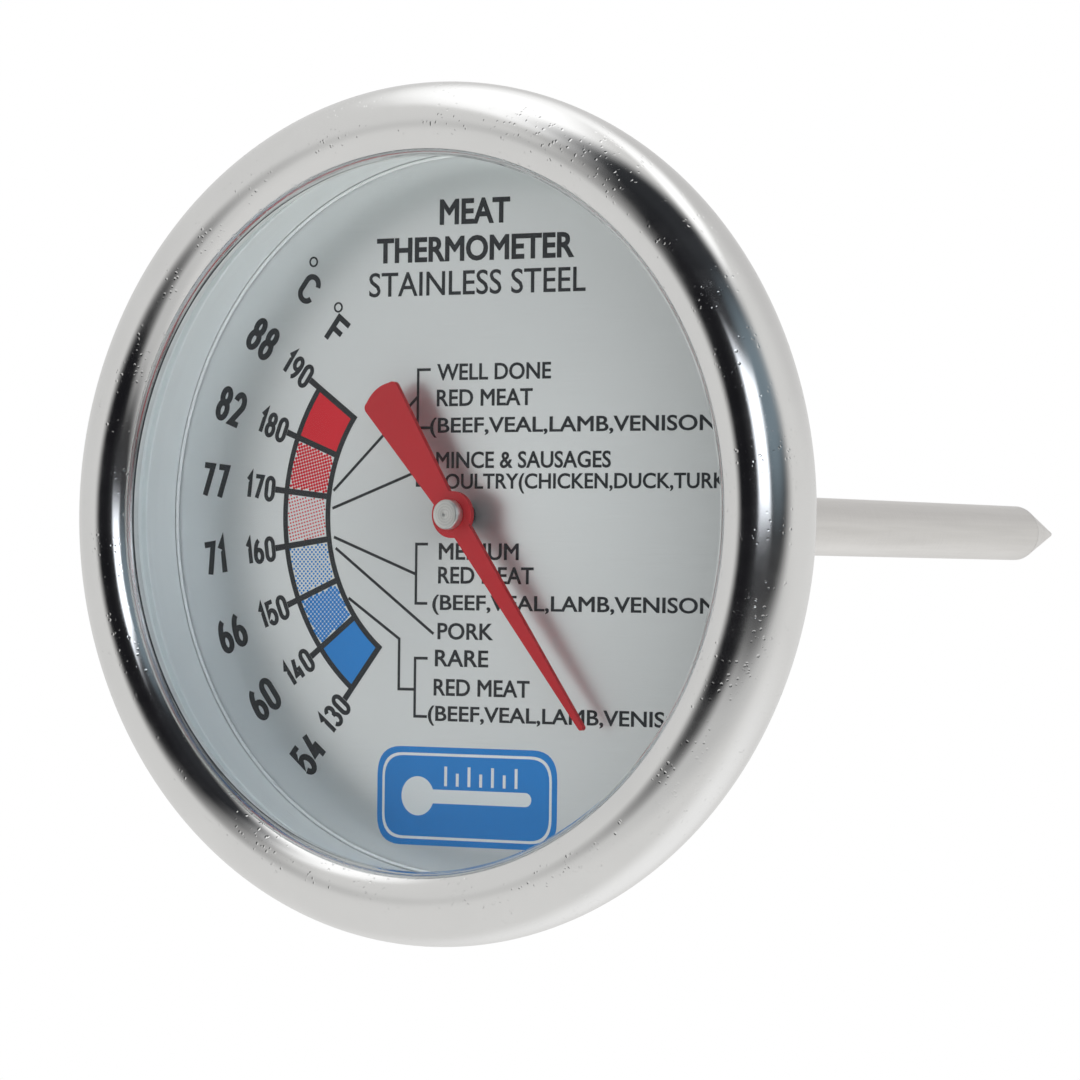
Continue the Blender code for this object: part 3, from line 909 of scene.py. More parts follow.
    def build_shell(self) -> None:
        """Drawn case: rim, side, ledge under the dial, well, and the sunk middle of the back."""
        rim, _, rim_radius = extent("case_back")
        bore = self.glass_radius + self.seat_gap
        outer = bore + self.sheet
        shoulder = extent("dial_plate")[1] - self.seat_gap
        well = outer - self.shoulder_width
        hole = extent("bushing_lock_ring")[2] - 2.4 * MM
        recess, slope, depth = extent("stem_bushing")[2] + 0.7 * MM, 1.0 * MM, 1.0 * MM
        bend, skin, turn = 0.5 * MM, self.sheet, self.back_corner
        corner = (well - turn, turn)
        lower = rounded([(bore, rim, 0.1 * MM), (rim_radius, rim, 0.2 * MM),
                         (rim_radius, rim - skin, 0.2 * MM), (outer, rim - skin, bend),
                         (outer, shoulder - skin, bend), (well, shoulder - skin, bend),
                         (well, corner[1], 0.0)])
        lower += arc(corner, (turn, turn), 0, -90, 16)[1:]
        lower += [(recess + slope + 0.4 * MM, 0.0), (recess + slope, 0.03 * MM),
                  (recess + slope * 0.75, 0.2 * MM), (recess + slope * 0.25, depth - 0.2 * MM),
                  (recess, depth - 0.03 * MM), (recess - 0.4 * MM, depth), (hole, depth)]
        upper = [(hole, depth + skin), (recess - 0.2 * MM, depth + skin), (recess + slope, skin)]
        upper += arc(corner, (turn - skin, turn - skin), -90, 0, 10)
        upper += [(well - skin, shoulder), (bore, shoulder)]
        item = Bench.turn("case_shell", lower + upper, self.steps)
        finish = PolishedSteel(roughness=0.14, smear=0.12)
        fit(item, Body.CASE, Slot.POLISHED, finish.material("drawn_case"), "case_back")


# ====================================================================== print on the dial
class Weight(float, Enum):
    """How far a letter's outline is pushed out, as a share of its height."""

    LIGHT = 0.005
    BOOK = 0.015
    BOLD = 0.028


@dataclass(frozen=True)
class Line:
    """One line of lettering, placed by its own box."""

    words: str
    left: float
    right: float
    bottom: float
    top: float
    weight: Weight = Weight.BOOK


@dataclass
class Numerals:
    """Narrow figures drawn with one pen; each figure is modelled once and copied."""

    face: float
    ink: float
    wide: float
    tall: float
    pen: float
    gap: float
    masters: dict[str, bpy.types.Object] = field(default_factory=dict)

    @staticmethod
    def loops(figure: str) -> list[list[Point]]:
        """Closed pen paths of a figure, in a box one wide and one tall."""
        bowl = arc((0.5, 0.28), (0.5, 0.28), 0, 360, 24)[:-1]
        shapes = {
            "0": [arc((0.5, 0.74), (0.5, 0.26), 0, 180, 14) + arc((0.5, 0.26), (0.5, 0.26), 180, 360, 14)],
            "6": [bowl],
            "8": [arc((0.5, 0.755), (0.43, 0.245), 0, 360, 22)[:-1], bowl],
            "9": [[(1.0 - x, 1.0 - y) for x, y in bowl]],
        }
        return shapes.get(figure, [])

    @staticmethod
    def lines(figure: str) -> list[list[Point]]:
        """Open pen paths of a figure, in a box one wide and one tall."""
        tail = arc((0.78, 0.28), (0.78, 0.72), 180, 100, 10)
        shapes = {
            "1": [[(0.05, 0.80), (0.85, 1.0), (0.85, 0.0)]],
            "2": [arc((0.5, 0.72), (0.5, 0.28), 170, -28, 16) + [(0.04, 0.0), (1.0, 0.0)]],
            "3": [arc((0.47, 0.76), (0.45, 0.24), 160, -90, 14),
                  arc((0.47, 0.27), (0.53, 0.27), 90, -160, 14)],
            "4": [[(0.60, 1.0), (0.0, 0.28), (1.0, 0.28)], [(0.72, 0.56), (0.72, 0.0)]],
            "5": [[(0.95, 1.0), (0.14, 1.0), (0.08, 0.52)] + arc((0.47, 0.31), (0.53, 0.31), 125, -160, 16)],
            "6": [tail],
            "7": [[(0.0, 1.0), (1.0, 1.0), (0.36, 0.0)]],
            "9": [[(1.0 - x, 1.0 - y) for x, y in tail]],
            "C": [arc((0.5, 0.72), (0.5, 0.28), 10, 180, 12) + arc((0.5, 0.28), (0.5, 0.28), 180, 350, 12)],
            "F": [[(1.0, 1.0), (0.0, 1.0), (0.0, 0.0)], [(0.0, 0.52), (0.85, 0.52)]],
        }
        return shapes.get(figure, [])

    def breadth(self, figure: str) -> float:
        """Width of a figure; a one is narrower."""
        return self.wide * (0.62 if figure == "1" else 1.0)

    def master(self, figure: str) -> bpy.types.Object:
        """The figure modelled upright about the middle of the dial.

        Args:
            figure: one of the figures or letters that the pen knows.

        Returns:
            The modelled figure, which copies are made of.
        """
        if figure not in self.masters:
            across, up = self.breadth(figure) - self.pen, self.tall - self.pen

            def sized(path: list[Point]) -> list[Point]:
                """A pen path at its real size."""
                return [((x - 0.5) * across, (y - 0.5) * up) for x, y in path]

            layers = [ring(sized(path), self.pen) for path in self.loops(figure)]
            layers += [[stroke(sized(path), self.pen)] for path in self.lines(figure)]
            parts = [Bench.sheet("figure", layer, self.face, self.ink * (1.0 - 0.06 * index))
                     for index, layer in enumerate(layers)]
            self.masters[figure] = Bench.joined("figure", parts)
        return self.masters[figure]

    def write(self, words: str, middle: Point, turn: float) -> list[bpy.types.Object]:
        """Copies of the figures of a number, side by side.

        Args:
            words: the number.
            middle: middle of the number on the dial.
            turn: turn of the number in degrees, clockwise as read.

        Returns:
            One piece for each figure.
        """
        total = sum(self.breadth(figure) for figure in words) + self.gap * (len(words) - 1)
        start = -total / 2
        stand = Matrix.Translation((middle[0], 0.0, middle[1])) @ Matrix.Rotation(math.radians(turn), 4, "Y")
        items = []
        for figure in words:
            item = self.master(figure).copy()
            item.data = item.data.copy()
            bpy.context.scene.collection.objects.link(item)
            breadth = self.breadth(figure)
            item.data.transform(stand @ Matrix.Translation((start + breadth / 2, 0.0, 0.0)))
            start += breadth + self.gap
            items.append(item)
        return items

    def put_away(self) -> None:
        """Delete the figures that copies were made of."""
        for item in self.masters.values():
            bpy.data.objects.remove(item)
        self.masters.clear()


@dataclass
class DialPrint:
    """Everything printed on the dial sheet."""

    outer: float = 20.1 * MM
    inner: float = 14.86 * MM
    border: float = 0.50 * MM
    bar: float = 0.54 * MM
    tick: float = 1.05 * MM
    first_angle: float = 35.43
    step_angle: float = 14.568
    ink: float = 0.030 * MM
    marks: int = 7
    face: float = field(init=False)
    grey: bpy.types.Material = field(init=False)
    red: bpy.types.Material = field(init=False)
    blue: bpy.types.Material = field(init=False)
    white: bpy.types.Material = field(init=False)

    def __post_init__(self) -> None:
        """Take the dial's face from the frame."""
        self.face = extent("dial_plate")[0]

    def build(self) -> None:
        """Print the scale, its numbers, the words and the badge."""
        self.grey = INK_GREY.material("ink_grey")
        self.red = INK_RED.material("ink_red")
        self.blue = INK_BLUE.material("ink_blue")
        self.white = INK_WHITE.material("ink_white")
        self.build_scale()
        self.build_screens()
        self.build_numbers()
        self.build_words()
        self.build_leaders()
        self.build_badge()

    def lay(self, item: bpy.types.Object, material: bpy.types.Material) -> None:
        """Fix a print to the case with its ink."""
        fit(item, Body.CASE, Slot.DIAL, material)

    # ------------------------------------------------------------ scale
    def angle(self, index: int) -> float:
        """Angle of a mark; 0 is the hottest."""
        return self.first_angle - self.step_angle * index

    def build_scale(self) -> None:
        """Dark frame of the scale with its marks, cut as one sheet with six windows."""
        half_bar = math.degrees(self.bar / 2 / self.outer)
        outline: list[Point] = []
        for index in range(self.marks):
            middle = self.angle(index)
            rim, tip = self.outer, self.outer + self.tick
            outline += [polar(rim, middle + half_bar), polar(tip, middle + half_bar),
                        polar(tip, middle - half_bar), polar(rim, middle - half_bar)]
            if index < self.marks - 1:
                outline += [polar(rim, middle - self.step_angle * share / 6) for share in range(1, 6)]
        half_inner = math.degrees(self.bar / 2 / self.inner)
        low, high = self.angle(self.marks - 1) - half_inner, self.angle(0) + half_inner
        outline += [polar(self.inner, low + (high - low) * share / 36) for share in range(37)]
        windows = [self.window(index, 0.0) for index in range(self.marks - 1)]
        item = Bench.sheet("scale_frame", [outline, *windows], self.face, self.ink)
        self.lay(item, self.grey)

    def window(self, index: int, lap: float) -> list[Point]:
        """Outline of one window of the scale.

        Args:
            index: window number, 0 is the hottest.
            lap: how far the outline runs under the frame.

        Returns:
            The closed outline.
        """
        outer, inner = self.outer - self.border + lap, self.inner + self.border - lap
        side = self.bar / 2 - lap
        top, bottom = self.angle(index), self.angle(index + 1)
        out_low, out_high = bottom + math.degrees(side / outer), top - math.degrees(side / outer)
        in_low, in_high = bottom + math.degrees(side / inner), top - math.degrees(side / inner)
        outline = [polar(outer, out_low + (out_high - out_low) * share / 6) for share in range(7)]
        outline += [polar(inner, in_high + (in_low - in_high) * share / 6) for share in range(7)]
        return outline

    def build_screens(self) -> None:
        """Solid red and blue windows, and four windows screened in dots."""
        lap = 0.15 * MM
        for name, index, material in (("scale_red", 0, self.red), ("scale_blue", 5, self.blue)):
            item = Bench.sheet(name, [self.window(index, lap)], self.face, self.ink * 0.6)
            self.lay(item, material)
        self.screen("screen_red_dense", 1, 0.285 * MM, 0.140 * MM, 14.0, self.red)
        self.screen("screen_red_light", 2, 0.305 * MM, 0.088 * MM, 14.0, self.red)
        self.screen("screen_blue_light", 3, 0.310 * MM, 0.104 * MM, 45.0, self.blue)
        self.screen("screen_blue_dense", 4, 0.310 * MM, 0.158 * MM, 45.0, self.blue)

    def screen(self, name: str, index: int, pitch: float, dot: float, turn: float,
               material: bpy.types.Material) -> None:
        """Fill one window with a turned grid of printed dots.

        Args:
            name: the piece's name.
            index: the window.
            pitch: distance between dots.
            dot: radius of a dot.
            turn: turn of the grid in degrees.
            material: ink.
        """
        middle = Vector(polar((self.outer + self.inner) / 2, (self.angle(index) + self.angle(index + 1)) / 2))
        count = int((self.outer - self.inner) * 1.6 / pitch)
        Bench.clear_selection()
        bpy.ops.mesh.primitive_cylinder_add(vertices=8, radius=dot, depth=self.ink * 0.6,
                                            rotation=(math.pi / 2, 0, 0))
        item = Bench.named(bpy.context.object, name)
        bpy.ops.object.transform_apply(location=True, rotation=True, scale=True)
        cosine, sine = math.cos(math.radians(turn)), math.sin(math.radians(turn))
        for label, way in (("row", (cosine, sine)), ("column", (-sine, cosine))):
            array = item.modifiers.new(label, "ARRAY")
            array.use_relative_offset = False
            array.use_constant_offset = True
            array.constant_offset_displace = (way[0] * pitch, 0.0, way[1] * pitch)
            array.count = count
            bpy.ops.object.modifier_apply(modifier=label)
        shift = pitch * (count - 1) / 2
        start = middle - Vector((cosine - sine, sine + cosine)) * shift
        item.data.transform(Matrix.Translation((start.x, -self.face - self.ink * 0.3, start.y)))
        self.keep_inside(item, index)
        self.lay(Bench.smooth(item, 30.0), material)

    def keep_inside(self, item: bpy.types.Object, index: int) -> None:
        """Delete the dots whose middle isn't in a window.

        Args:
            item: the grid of dots.
            index: the window.
        """
        margin = 0.05 * MM
        Bench.pick(item)
        bpy.ops.object.mode_set(mode="EDIT")
        bpy.ops.mesh.select_all(action="DESELECT")
        mesh = bmesh.from_edit_mesh(item.data)
        mesh.verts.ensure_lookup_table()
        per_dot = 16
        for first in range(0, len(mesh.verts), per_dot):
            group = mesh.verts[first:first + per_dot]
            place = sum((vertex.co for vertex in group), Vector()) / per_dot
            radius = math.hypot(place.x, place.z)
            turn = math.degrees(math.atan2(place.z, -place.x))
            side = math.degrees((self.bar / 2 + margin) / radius)
            inside = (self.inner + self.border + margin < radius < self.outer - self.border - margin
                      and self.angle(index + 1) + side < turn < self.angle(index) - side)
            if not inside:
                for vertex in group:
                    vertex.select_set(True)
        mesh.select_flush(True)
        bmesh.update_edit_mesh(item.data)
        bpy.ops.mesh.delete(type="VERT")
        bpy.ops.object.mode_set(mode="OBJECT")

    # ------------------------------------------------------------ lettering
    def letters(self, line: Line) -> bpy.types.Object:
        """Cut a line of lettering to its box.

        Args:
            line: the line and its box.

        Returns:
            The lettering as a closed mesh in its place.
        """
        Bench.clear_selection()
        bpy.ops.object.text_add()
        item = bpy.context.object
        item.data.body = line.words
        item.data.size = 1.0
        item.data.resolution_u = 4
        item.data.bevel_depth = line.weight.value
        item.data.bevel_resolution = 1
        item.data.extrude = 0.1
        bpy.ops.object.convert(target="MESH")
        item = bpy.context.object
        bpy.ops.object.mode_set(mode="EDIT")
        Bench.close_up(0.0002)
        places = [vertex.co for vertex in item.data.vertices]
        low = Vector([min(place[axis] for place in places) for axis in range(3)])
        high = Vector([max(place[axis] for place in places) for axis in range(3)])
        width, height = (line.right - line.left) * MM, (line.top - line.bottom) * MM
        middle = ((line.left + line.right) / 2 * MM, (line.bottom + line.top) / 2 * MM)
        size = Matrix.Diagonal((width / (high.x - low.x), height / (high.y - low.y),
                                self.ink / (high.z - low.z), 1.0))
        centre = Vector(((low.x + high.x) / 2, (low.y + high.y) / 2, 0.0))
        place = Matrix.Translation((middle[0], -self.face - self.ink / 2, middle[1]))
        stand = Matrix.Rotation(math.pi / 2, 4, "X")
        item.data.transform(place @ stand @ size @ Matrix.Translation(-centre))
        return item

    def build_numbers(self) -> None:
        """Fahrenheit and Celsius numbers and their signs, each turned like its radius."""
        small = Numerals(self.face, self.ink, 1.16 * MM, 2.38 * MM, 0.40 * MM, 0.14 * MM)
        large = Numerals(self.face, self.ink, 1.50 * MM, 3.32 * MM, 0.55 * MM, 0.16 * MM)
        capital = Numerals(self.face, self.ink, 1.90 * MM, 2.90 * MM, 0.50 * MM, 0.0)
        fahrenheit: list[bpy.types.Object] = []
        celsius: list[bpy.types.Object] = []
        for index in range(self.marks):
            value = 190 - 10 * index
            turn = self.angle(index)
            radius = (27.6 + 0.5 * math.cos(math.radians(turn * 2))) * MM
            fahrenheit += small.write(str(value), polar(22.85 * MM, turn), turn)
            celsius += large.write(str(round((value - 32) / 1.8)), polar(radius, turn), turn)
        signs = capital.write("C", (-17.45 * MM, 20.55 * MM), 38.0)
        signs += capital.write("F", (-14.25 * MM, 16.55 * MM), 38.0)
        for place in ((-17.0 * MM, 23.0 * MM), (-14.2 * MM, 18.8 * MM)):
            circle = arc(place, (0.40 * MM, 0.40 * MM), 0, 360, 24)[:-1]
            signs.append(Bench.sheet("degree_ring", ring(circle, 0.16 * MM), self.face, self.ink))
        for pen in (small, large, capital):
            pen.put_away()
        self.lay(Bench.joined("fahrenheit_numbers", fahrenheit), self.grey)
        self.lay(Bench.joined("celsius_numbers", celsius), self.grey)
        self.lay(Bench.joined("scale_signs", signs), self.grey)

    def build_words(self) -> None:
        """Title and the guide to doneness."""
        title = [Line("MEAT", -3.2, 4.3, 25.9, 28.2, Weight.BOLD),
                 Line("THERMOMETER", -10.0, 11.1, 22.6, 24.9, Weight.BOLD),
                 Line("STAINLESS STEEL", -10.8, 12.3, 19.6, 21.8, Weight.LIGHT)]
        guide = [Line("WELL DONE", -3.3, 8.8, 12.0, 13.5), Line("RED MEAT", -3.3, 6.9, 9.7, 11.2),
                 Line("(BEEF,VEAL,LAMB,VENISON)", -4.0, 26.6, 6.9, 8.7),
                 Line("MINCE & SAUSAGES", -3.3, 15.1, 4.15, 5.65),
                 Line("POULTRY(CHICKEN,DUCK,TURKEY)", -3.3, 29.6, 1.9, 3.7),
                 Line("MEDIUM", -2.9, 5.6, -4.0, -2.5), Line("RED MEAT", -2.95, 7.2, -6.1, -4.6),
                 Line("(BEEF,VEAL,LAMB,VENISON)", -3.55, 26.8, -8.9, -7.1),
                 Line("PORK", -2.95, 3.0, -11.1, -9.6), Line("RARE", -3.2, 2.5, -13.5, -12.0),
                 Line("RED MEAT", -3.3, 6.9, -16.1, -14.6),
                 Line("(BEEF,VEAL,LAMB,VENISON)", -3.9, 25.4, -18.8, -17.0)]
        for name, lines in (("dial_title", title), ("doneness_guide", guide)):
            self.lay(Bench.joined(name, [self.letters(line) for line in lines]), self.grey)

    def build_leaders(self) -> None:
        """Brackets beside the guide and the lines that lead to them from the scale."""
        brackets = [(13.0, 7.8, -4.0), (5.35, 2.65, -4.5), (-2.6, -7.9, -4.1), (-12.8, -18.0, -4.0)]
        spine = -5.35
        lines = [[(end, top), (spine, top), (spine, bottom), (end, bottom)] for top, bottom, end in brackets]
        lines += [[(-14.5, 2.2), (spine, 10.6)], [(-14.6, 0.6), (spine, 3.9)], [(-14.4, -2.0), (spine, -5.3)],
                  [(-14.2, -3.0), (-3.4, -10.6)],
                  [(-12.7, -7.5), (-7.1, -11.1), (-7.1, -15.6), (spine, -15.6)]]
        items = []
        for index, line in enumerate(lines):
            path = [(x * MM, z * MM) for x, z in line]
            lift = self.ink * (0.7 if index < len(brackets) else 0.9)
            items.append(Bench.sheet("leader", [stroke(path, 0.25 * MM)], self.face, lift))
        self.lay(Bench.joined("guide_leaders", items), self.grey)

    # ------------------------------------------------------------ badge
    def build_badge(self) -> None:
        """A plain blue plate with a keyline and the picture of a probe thermometer."""
        middle = Vector((0.3 * MM, -25.1 * MM))
        half = Vector((9.6 * MM, 4.4 * MM))

        def panel(inset: float, corner: float) -> list[Point]:
            """Outline of the plate, drawn in by an inset."""
            wide, tall = half.x - inset, half.y - inset
            signs = ((-1, -1), (1, -1), (1, 1), (-1, 1))
            return rounded([(middle.x + x * wide, middle.y + y * tall, corner) for x, y in signs], 8)

        self.lay(Bench.sheet("badge_plate", [panel(0.0, 2.6 * MM)], self.face, self.ink * 0.6), self.blue)
        keyline = [panel(0.55 * MM, 2.2 * MM), panel(0.80 * MM, 2.05 * MM)]
        items = [Bench.sheet("keyline", keyline, self.face, self.ink)]
        bulb = Vector((middle.x - 5.2 * MM, middle.y))
        radius, neck = 1.75 * MM, 0.62 * MM
        reach = math.degrees(math.asin(neck / radius))
        outline = arc((bulb.x, bulb.y), (radius, radius), reach, 360 - reach, 40)
        end = middle.x + 6.3 * MM
        outline += arc((end, middle.y), (neck, neck), -90, 90, 10)
        items.append(Bench.sheet("probe", [outline], self.face, self.ink))
        for index in range(7):
            x = middle.x - 2.2 * MM + index * 1.25 * MM
            tall = (1.15 if index % 2 else 1.75) * MM
            path = [(x, middle.y + 0.95 * MM), (x, middle.y + 0.95 * MM + tall)]
            items.append(Bench.sheet("mark", [stroke(path, 0.3 * MM)], self.face, self.ink))
        self.lay(Bench.joined("badge_picture", items), self.white)


# ====================================================================== stem
@dataclass
class Stem:
    """Bushing, tube and point."""

    radius: float = 2.9 * MM
    wall: float = 0.45 * MM
    steps: int = 96

    def build(self) -> None:
        """Build and dress the pieces that stick out behind the case."""
        satin = SatinSteel().material("ground_stem")
        head, end, _ = extent("stem_tube")
        foot = end - 0.07 * MM
        bore = self.radius - self.wall
        edge = 0.02 * MM
        rings = [(self.radius, head + (foot - head) * share / 12, 0.0) for share in range(1, 12)]
        outline = rounded([(bore, head, edge), (self.radius, head, edge), *rings,
                           (self.radius, foot, edge), (bore, foot, edge)], 3)
        fit(Bench.turn("stem", outline, self.steps), Body.CASE, Slot.SATIN, satin, "stem_tube")
        self.build_point(foot, bore, satin)
        self.build_bushing()

    def build_point(self, foot: float, bore: float, satin: bpy.types.Material) -> None:
        """Ground point with its spigot in the tube.

        Args:
            foot: height of the tube's end.
            bore: radius of the tube's bore.
            satin: the stem's material.
        """
        top, end, _ = extent("stem_tip")
        spigot, base, blunt = bore - 0.1 * MM, foot - 0.02 * MM, 0.25 * MM
        run, fall = self.radius - blunt, base - end - blunt / 2
        outline = [(0.0, top), (spigot - 0.15 * MM, top), (spigot, top - 0.15 * MM), (spigot, base)]
        outline += [(self.radius - run * share / 8, base - fall * share / 8) for share in range(9)]
        outline += [(blunt * 0.7, end + blunt * 0.2), (blunt * 0.35, end + blunt * 0.05), (0.0, end)]
        item = Bench.turn("stem_point", outline, self.steps, closed=False)
        fit(item, Body.CASE, Slot.SATIN, satin, "stem_tip")

    def build_bushing(self) -> None:
        """Flanged bushing that seats in the sunk middle of the back."""
        spigot_top, neck_end, flange = extent("stem_bushing")
        bore = self.radius + 0.1 * MM
        spigot, neck = bore + 1.4 * MM, bore + 1.0 * MM
        top, bottom = 0.7 * MM, -0.8 * MM
        outline = rounded([(bore, spigot_top, 0.15 * MM), (spigot, spigot_top, 0.2 * MM),
                           (spigot, top, 0.05 * MM), (flange, top, 0.33 * MM),
                           (flange, bottom, 0.25 * MM), (neck, bottom, 0.45 * MM),
                           (neck, neck_end, 0.33 * MM), (bore, neck_end, 0.1 * MM)])
        item = Bench.turn("bushing", outline, self.steps)
        finish = TurnedMetal(roughness=0.26, rings=3.0)
        fit(item, Body.CASE, Slot.SATIN, finish.material("turned_bushing"), "stem_bushing")


# ====================================================================== movement
@dataclass
class Movement:
    """Red pointer, its pin head and the sleeve under it."""

    rest_angle: float = -53.4
    hub: float = 2.08 * MM
    length: float = 23.3 * MM
    root: float = 1.9 * MM
    point: float = 0.5 * MM
    tail: float = 13.9 * MM
    tail_root: float = 2.0 * MM
    tail_end: float = 4.1 * MM
    corner: float = 0.6 * MM
    end_radius: float = 3.4 * MM

    def outline(self) -> list[Point]:
        """Outline of the pointer turned to its resting place."""
        half_root, half_point = self.root / 2, self.point / 2
        half_tail, half_tail_root = self.tail_end / 2, self.tail_root / 2
        root_angle = math.degrees(math.asin(half_root / self.hub))
        tail_angle = 180.0 - math.degrees(math.asin(half_tail_root / self.hub))
        flat = half_tail - self.corner
        sag = self.end_radius - math.sqrt(self.end_radius ** 2 - flat ** 2)
        spread = math.degrees(math.asin(flat / self.end_radius))
        upper = arc((self.length - half_point, 0.0), (half_point, half_point), 0, 90, 6)
        upper += arc((0.0, 0.0), (self.hub, self.hub), root_angle, tail_angle, 30)
        upper += arc((self.corner + sag - self.tail, flat), (self.corner, self.corner), 80, 150, 7)
        upper += arc((self.end_radius - self.tail, 0.0), (self.end_radius, self.end_radius),
                     180.0 - spread, 180.0, 8)
        whole = upper + [(x, -y) for x, y in reversed(upper[1:-1])]
        turn = math.radians(self.rest_angle)
        return [(x * math.cos(turn) - y * math.sin(turn), x * math.sin(turn) + y * math.cos(turn))
                for x, y in whole]

    def build(self) -> None:
        """Build and dress the pointer's pieces."""
        top, bottom, _ = extent("pointer")
        hole = arc((0.0, 0.0), (0.6 * MM, 0.6 * MM), 0, 360, 32)[:-1]
        item = Bench.sheet("needle", [self.outline(), hole], bottom, top - bottom)
        Bench.soften(item, 0.07 * MM)
        fit(item, Body.MOVEMENT, Slot.RED, Enamel((0.50, 0.010, 0.018)).material("red_enamel"), "pointer")
        self.build_pin()
        self.build_sleeve()

    def build_pin(self) -> None:
        """Turned pin head with the lathe's centre mark."""
        top, end, radius = extent("pointer_pin")
        shank, under = 0.5 * MM, top - 0.95 * MM
        outline = [(0.0, top - 0.12 * MM), (0.12 * MM, top - 0.09 * MM), (0.22 * MM, top - 0.01 * MM),
                   (0.30 * MM, top)]
        outline += arc((radius - 0.2 * MM, top - 0.2 * MM), (0.2 * MM, 0.2 * MM), 90, 0, 6)
        outline += [(radius, under + 0.05 * MM), (radius - 0.05 * MM, under), (shank, under),
                    (shank, end + 0.1 * MM), (shank - 0.1 * MM, end), (0.0, end)]
        item = Bench.turn("pin_head", outline, 96, closed=False)
        finish = TurnedMetal(colour=(0.76, 0.75, 0.73), roughness=0.42, rings=4.0, depth=0.002 * MM)
        fit(item, Body.MOVEMENT, Slot.TURNED, finish.material("turned_pin"), "pointer_pin")

    def build_sleeve(self) -> None:
        """Black sleeve between the dial and the pointer."""
        top, bottom, outer = extent("pointer_sleeve")
        bore, edge = 0.6 * MM, 0.12 * MM
        outline = rounded([(bore, top, 0.03 * MM), (outer, top, edge), (outer, bottom, edge),
                           (bore, bottom, 0.03 * MM)])
        item = Bench.turn("sleeve", outline, 72)
        fit(item, Body.MOVEMENT, Slot.BLACK, Moulded((0.016, 0.016, 0.018)).material("black_sleeve"),
            "pointer_sleeve")


@dataclass(frozen=True)
class Works:
    """Finishes for the pieces inside the case and the tube, which keep their own shape."""

    def build(self) -> None:
        """Give each hidden piece its material."""
        brass = TurnedMetal(colour=(0.72, 0.53, 0.24), rings=4.0).material("turned_brass")
        nylon = Moulded((0.72, 0.71, 0.66)).material("white_nylon")
        steel = TurnedMetal(roughness=0.32).material("turned_steel")
        strip = SatinSteel(colour=(0.55, 0.47, 0.38), rings=6.0).material("bimetal_strip")
        dressed = {"bushing_lock_ring": brass, "spindle_stop_collar": brass, "coil_collet": brass,
                   "upper_bearing": nylon, "lower_bearing": nylon, "coil_anchor": steel, "spindle": steel,
                   "bimetal_coil": strip}
        for name, material in dressed.items():
            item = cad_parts[name]
            item.data.materials.clear()
            item.data.materials.append(material)
            LOG.info("%s: finished as %s", name, material.name)


# ====================================================================== studio
class Shape(Enum):
    """Outline of a patch of the studio."""

    ROUND = "round"
    SQUARE = "square"


@dataclass(frozen=True)
class Patch:
    """A card, window or softbox of the studio, seen from the thermometer.

    Angles are in degrees: azimuth from straight ahead of the dial towards +X,
    elevation upwards.
    """

    azimuth: float
    elevation: float
    wide: float
    tall: float
    soft: float
    light: Colour
    shape: Shape = Shape.ROUND
    share: float = 1.0

    def directions(self) -> tuple[Vector, Vector, Vector]:
        """Unit vectors towards the patch, to its right and up."""
        azimuth, elevation = math.radians(self.azimuth), math.radians(self.elevation)
        ahead = Vector((math.sin(azimuth) * math.cos(elevation), -math.cos(azimuth) * math.cos(elevation),
                        math.sin(elevation)))
        right = Vector((math.cos(azimuth), math.sin(azimuth), 0.0))
        return ahead, right, right.cross(ahead)


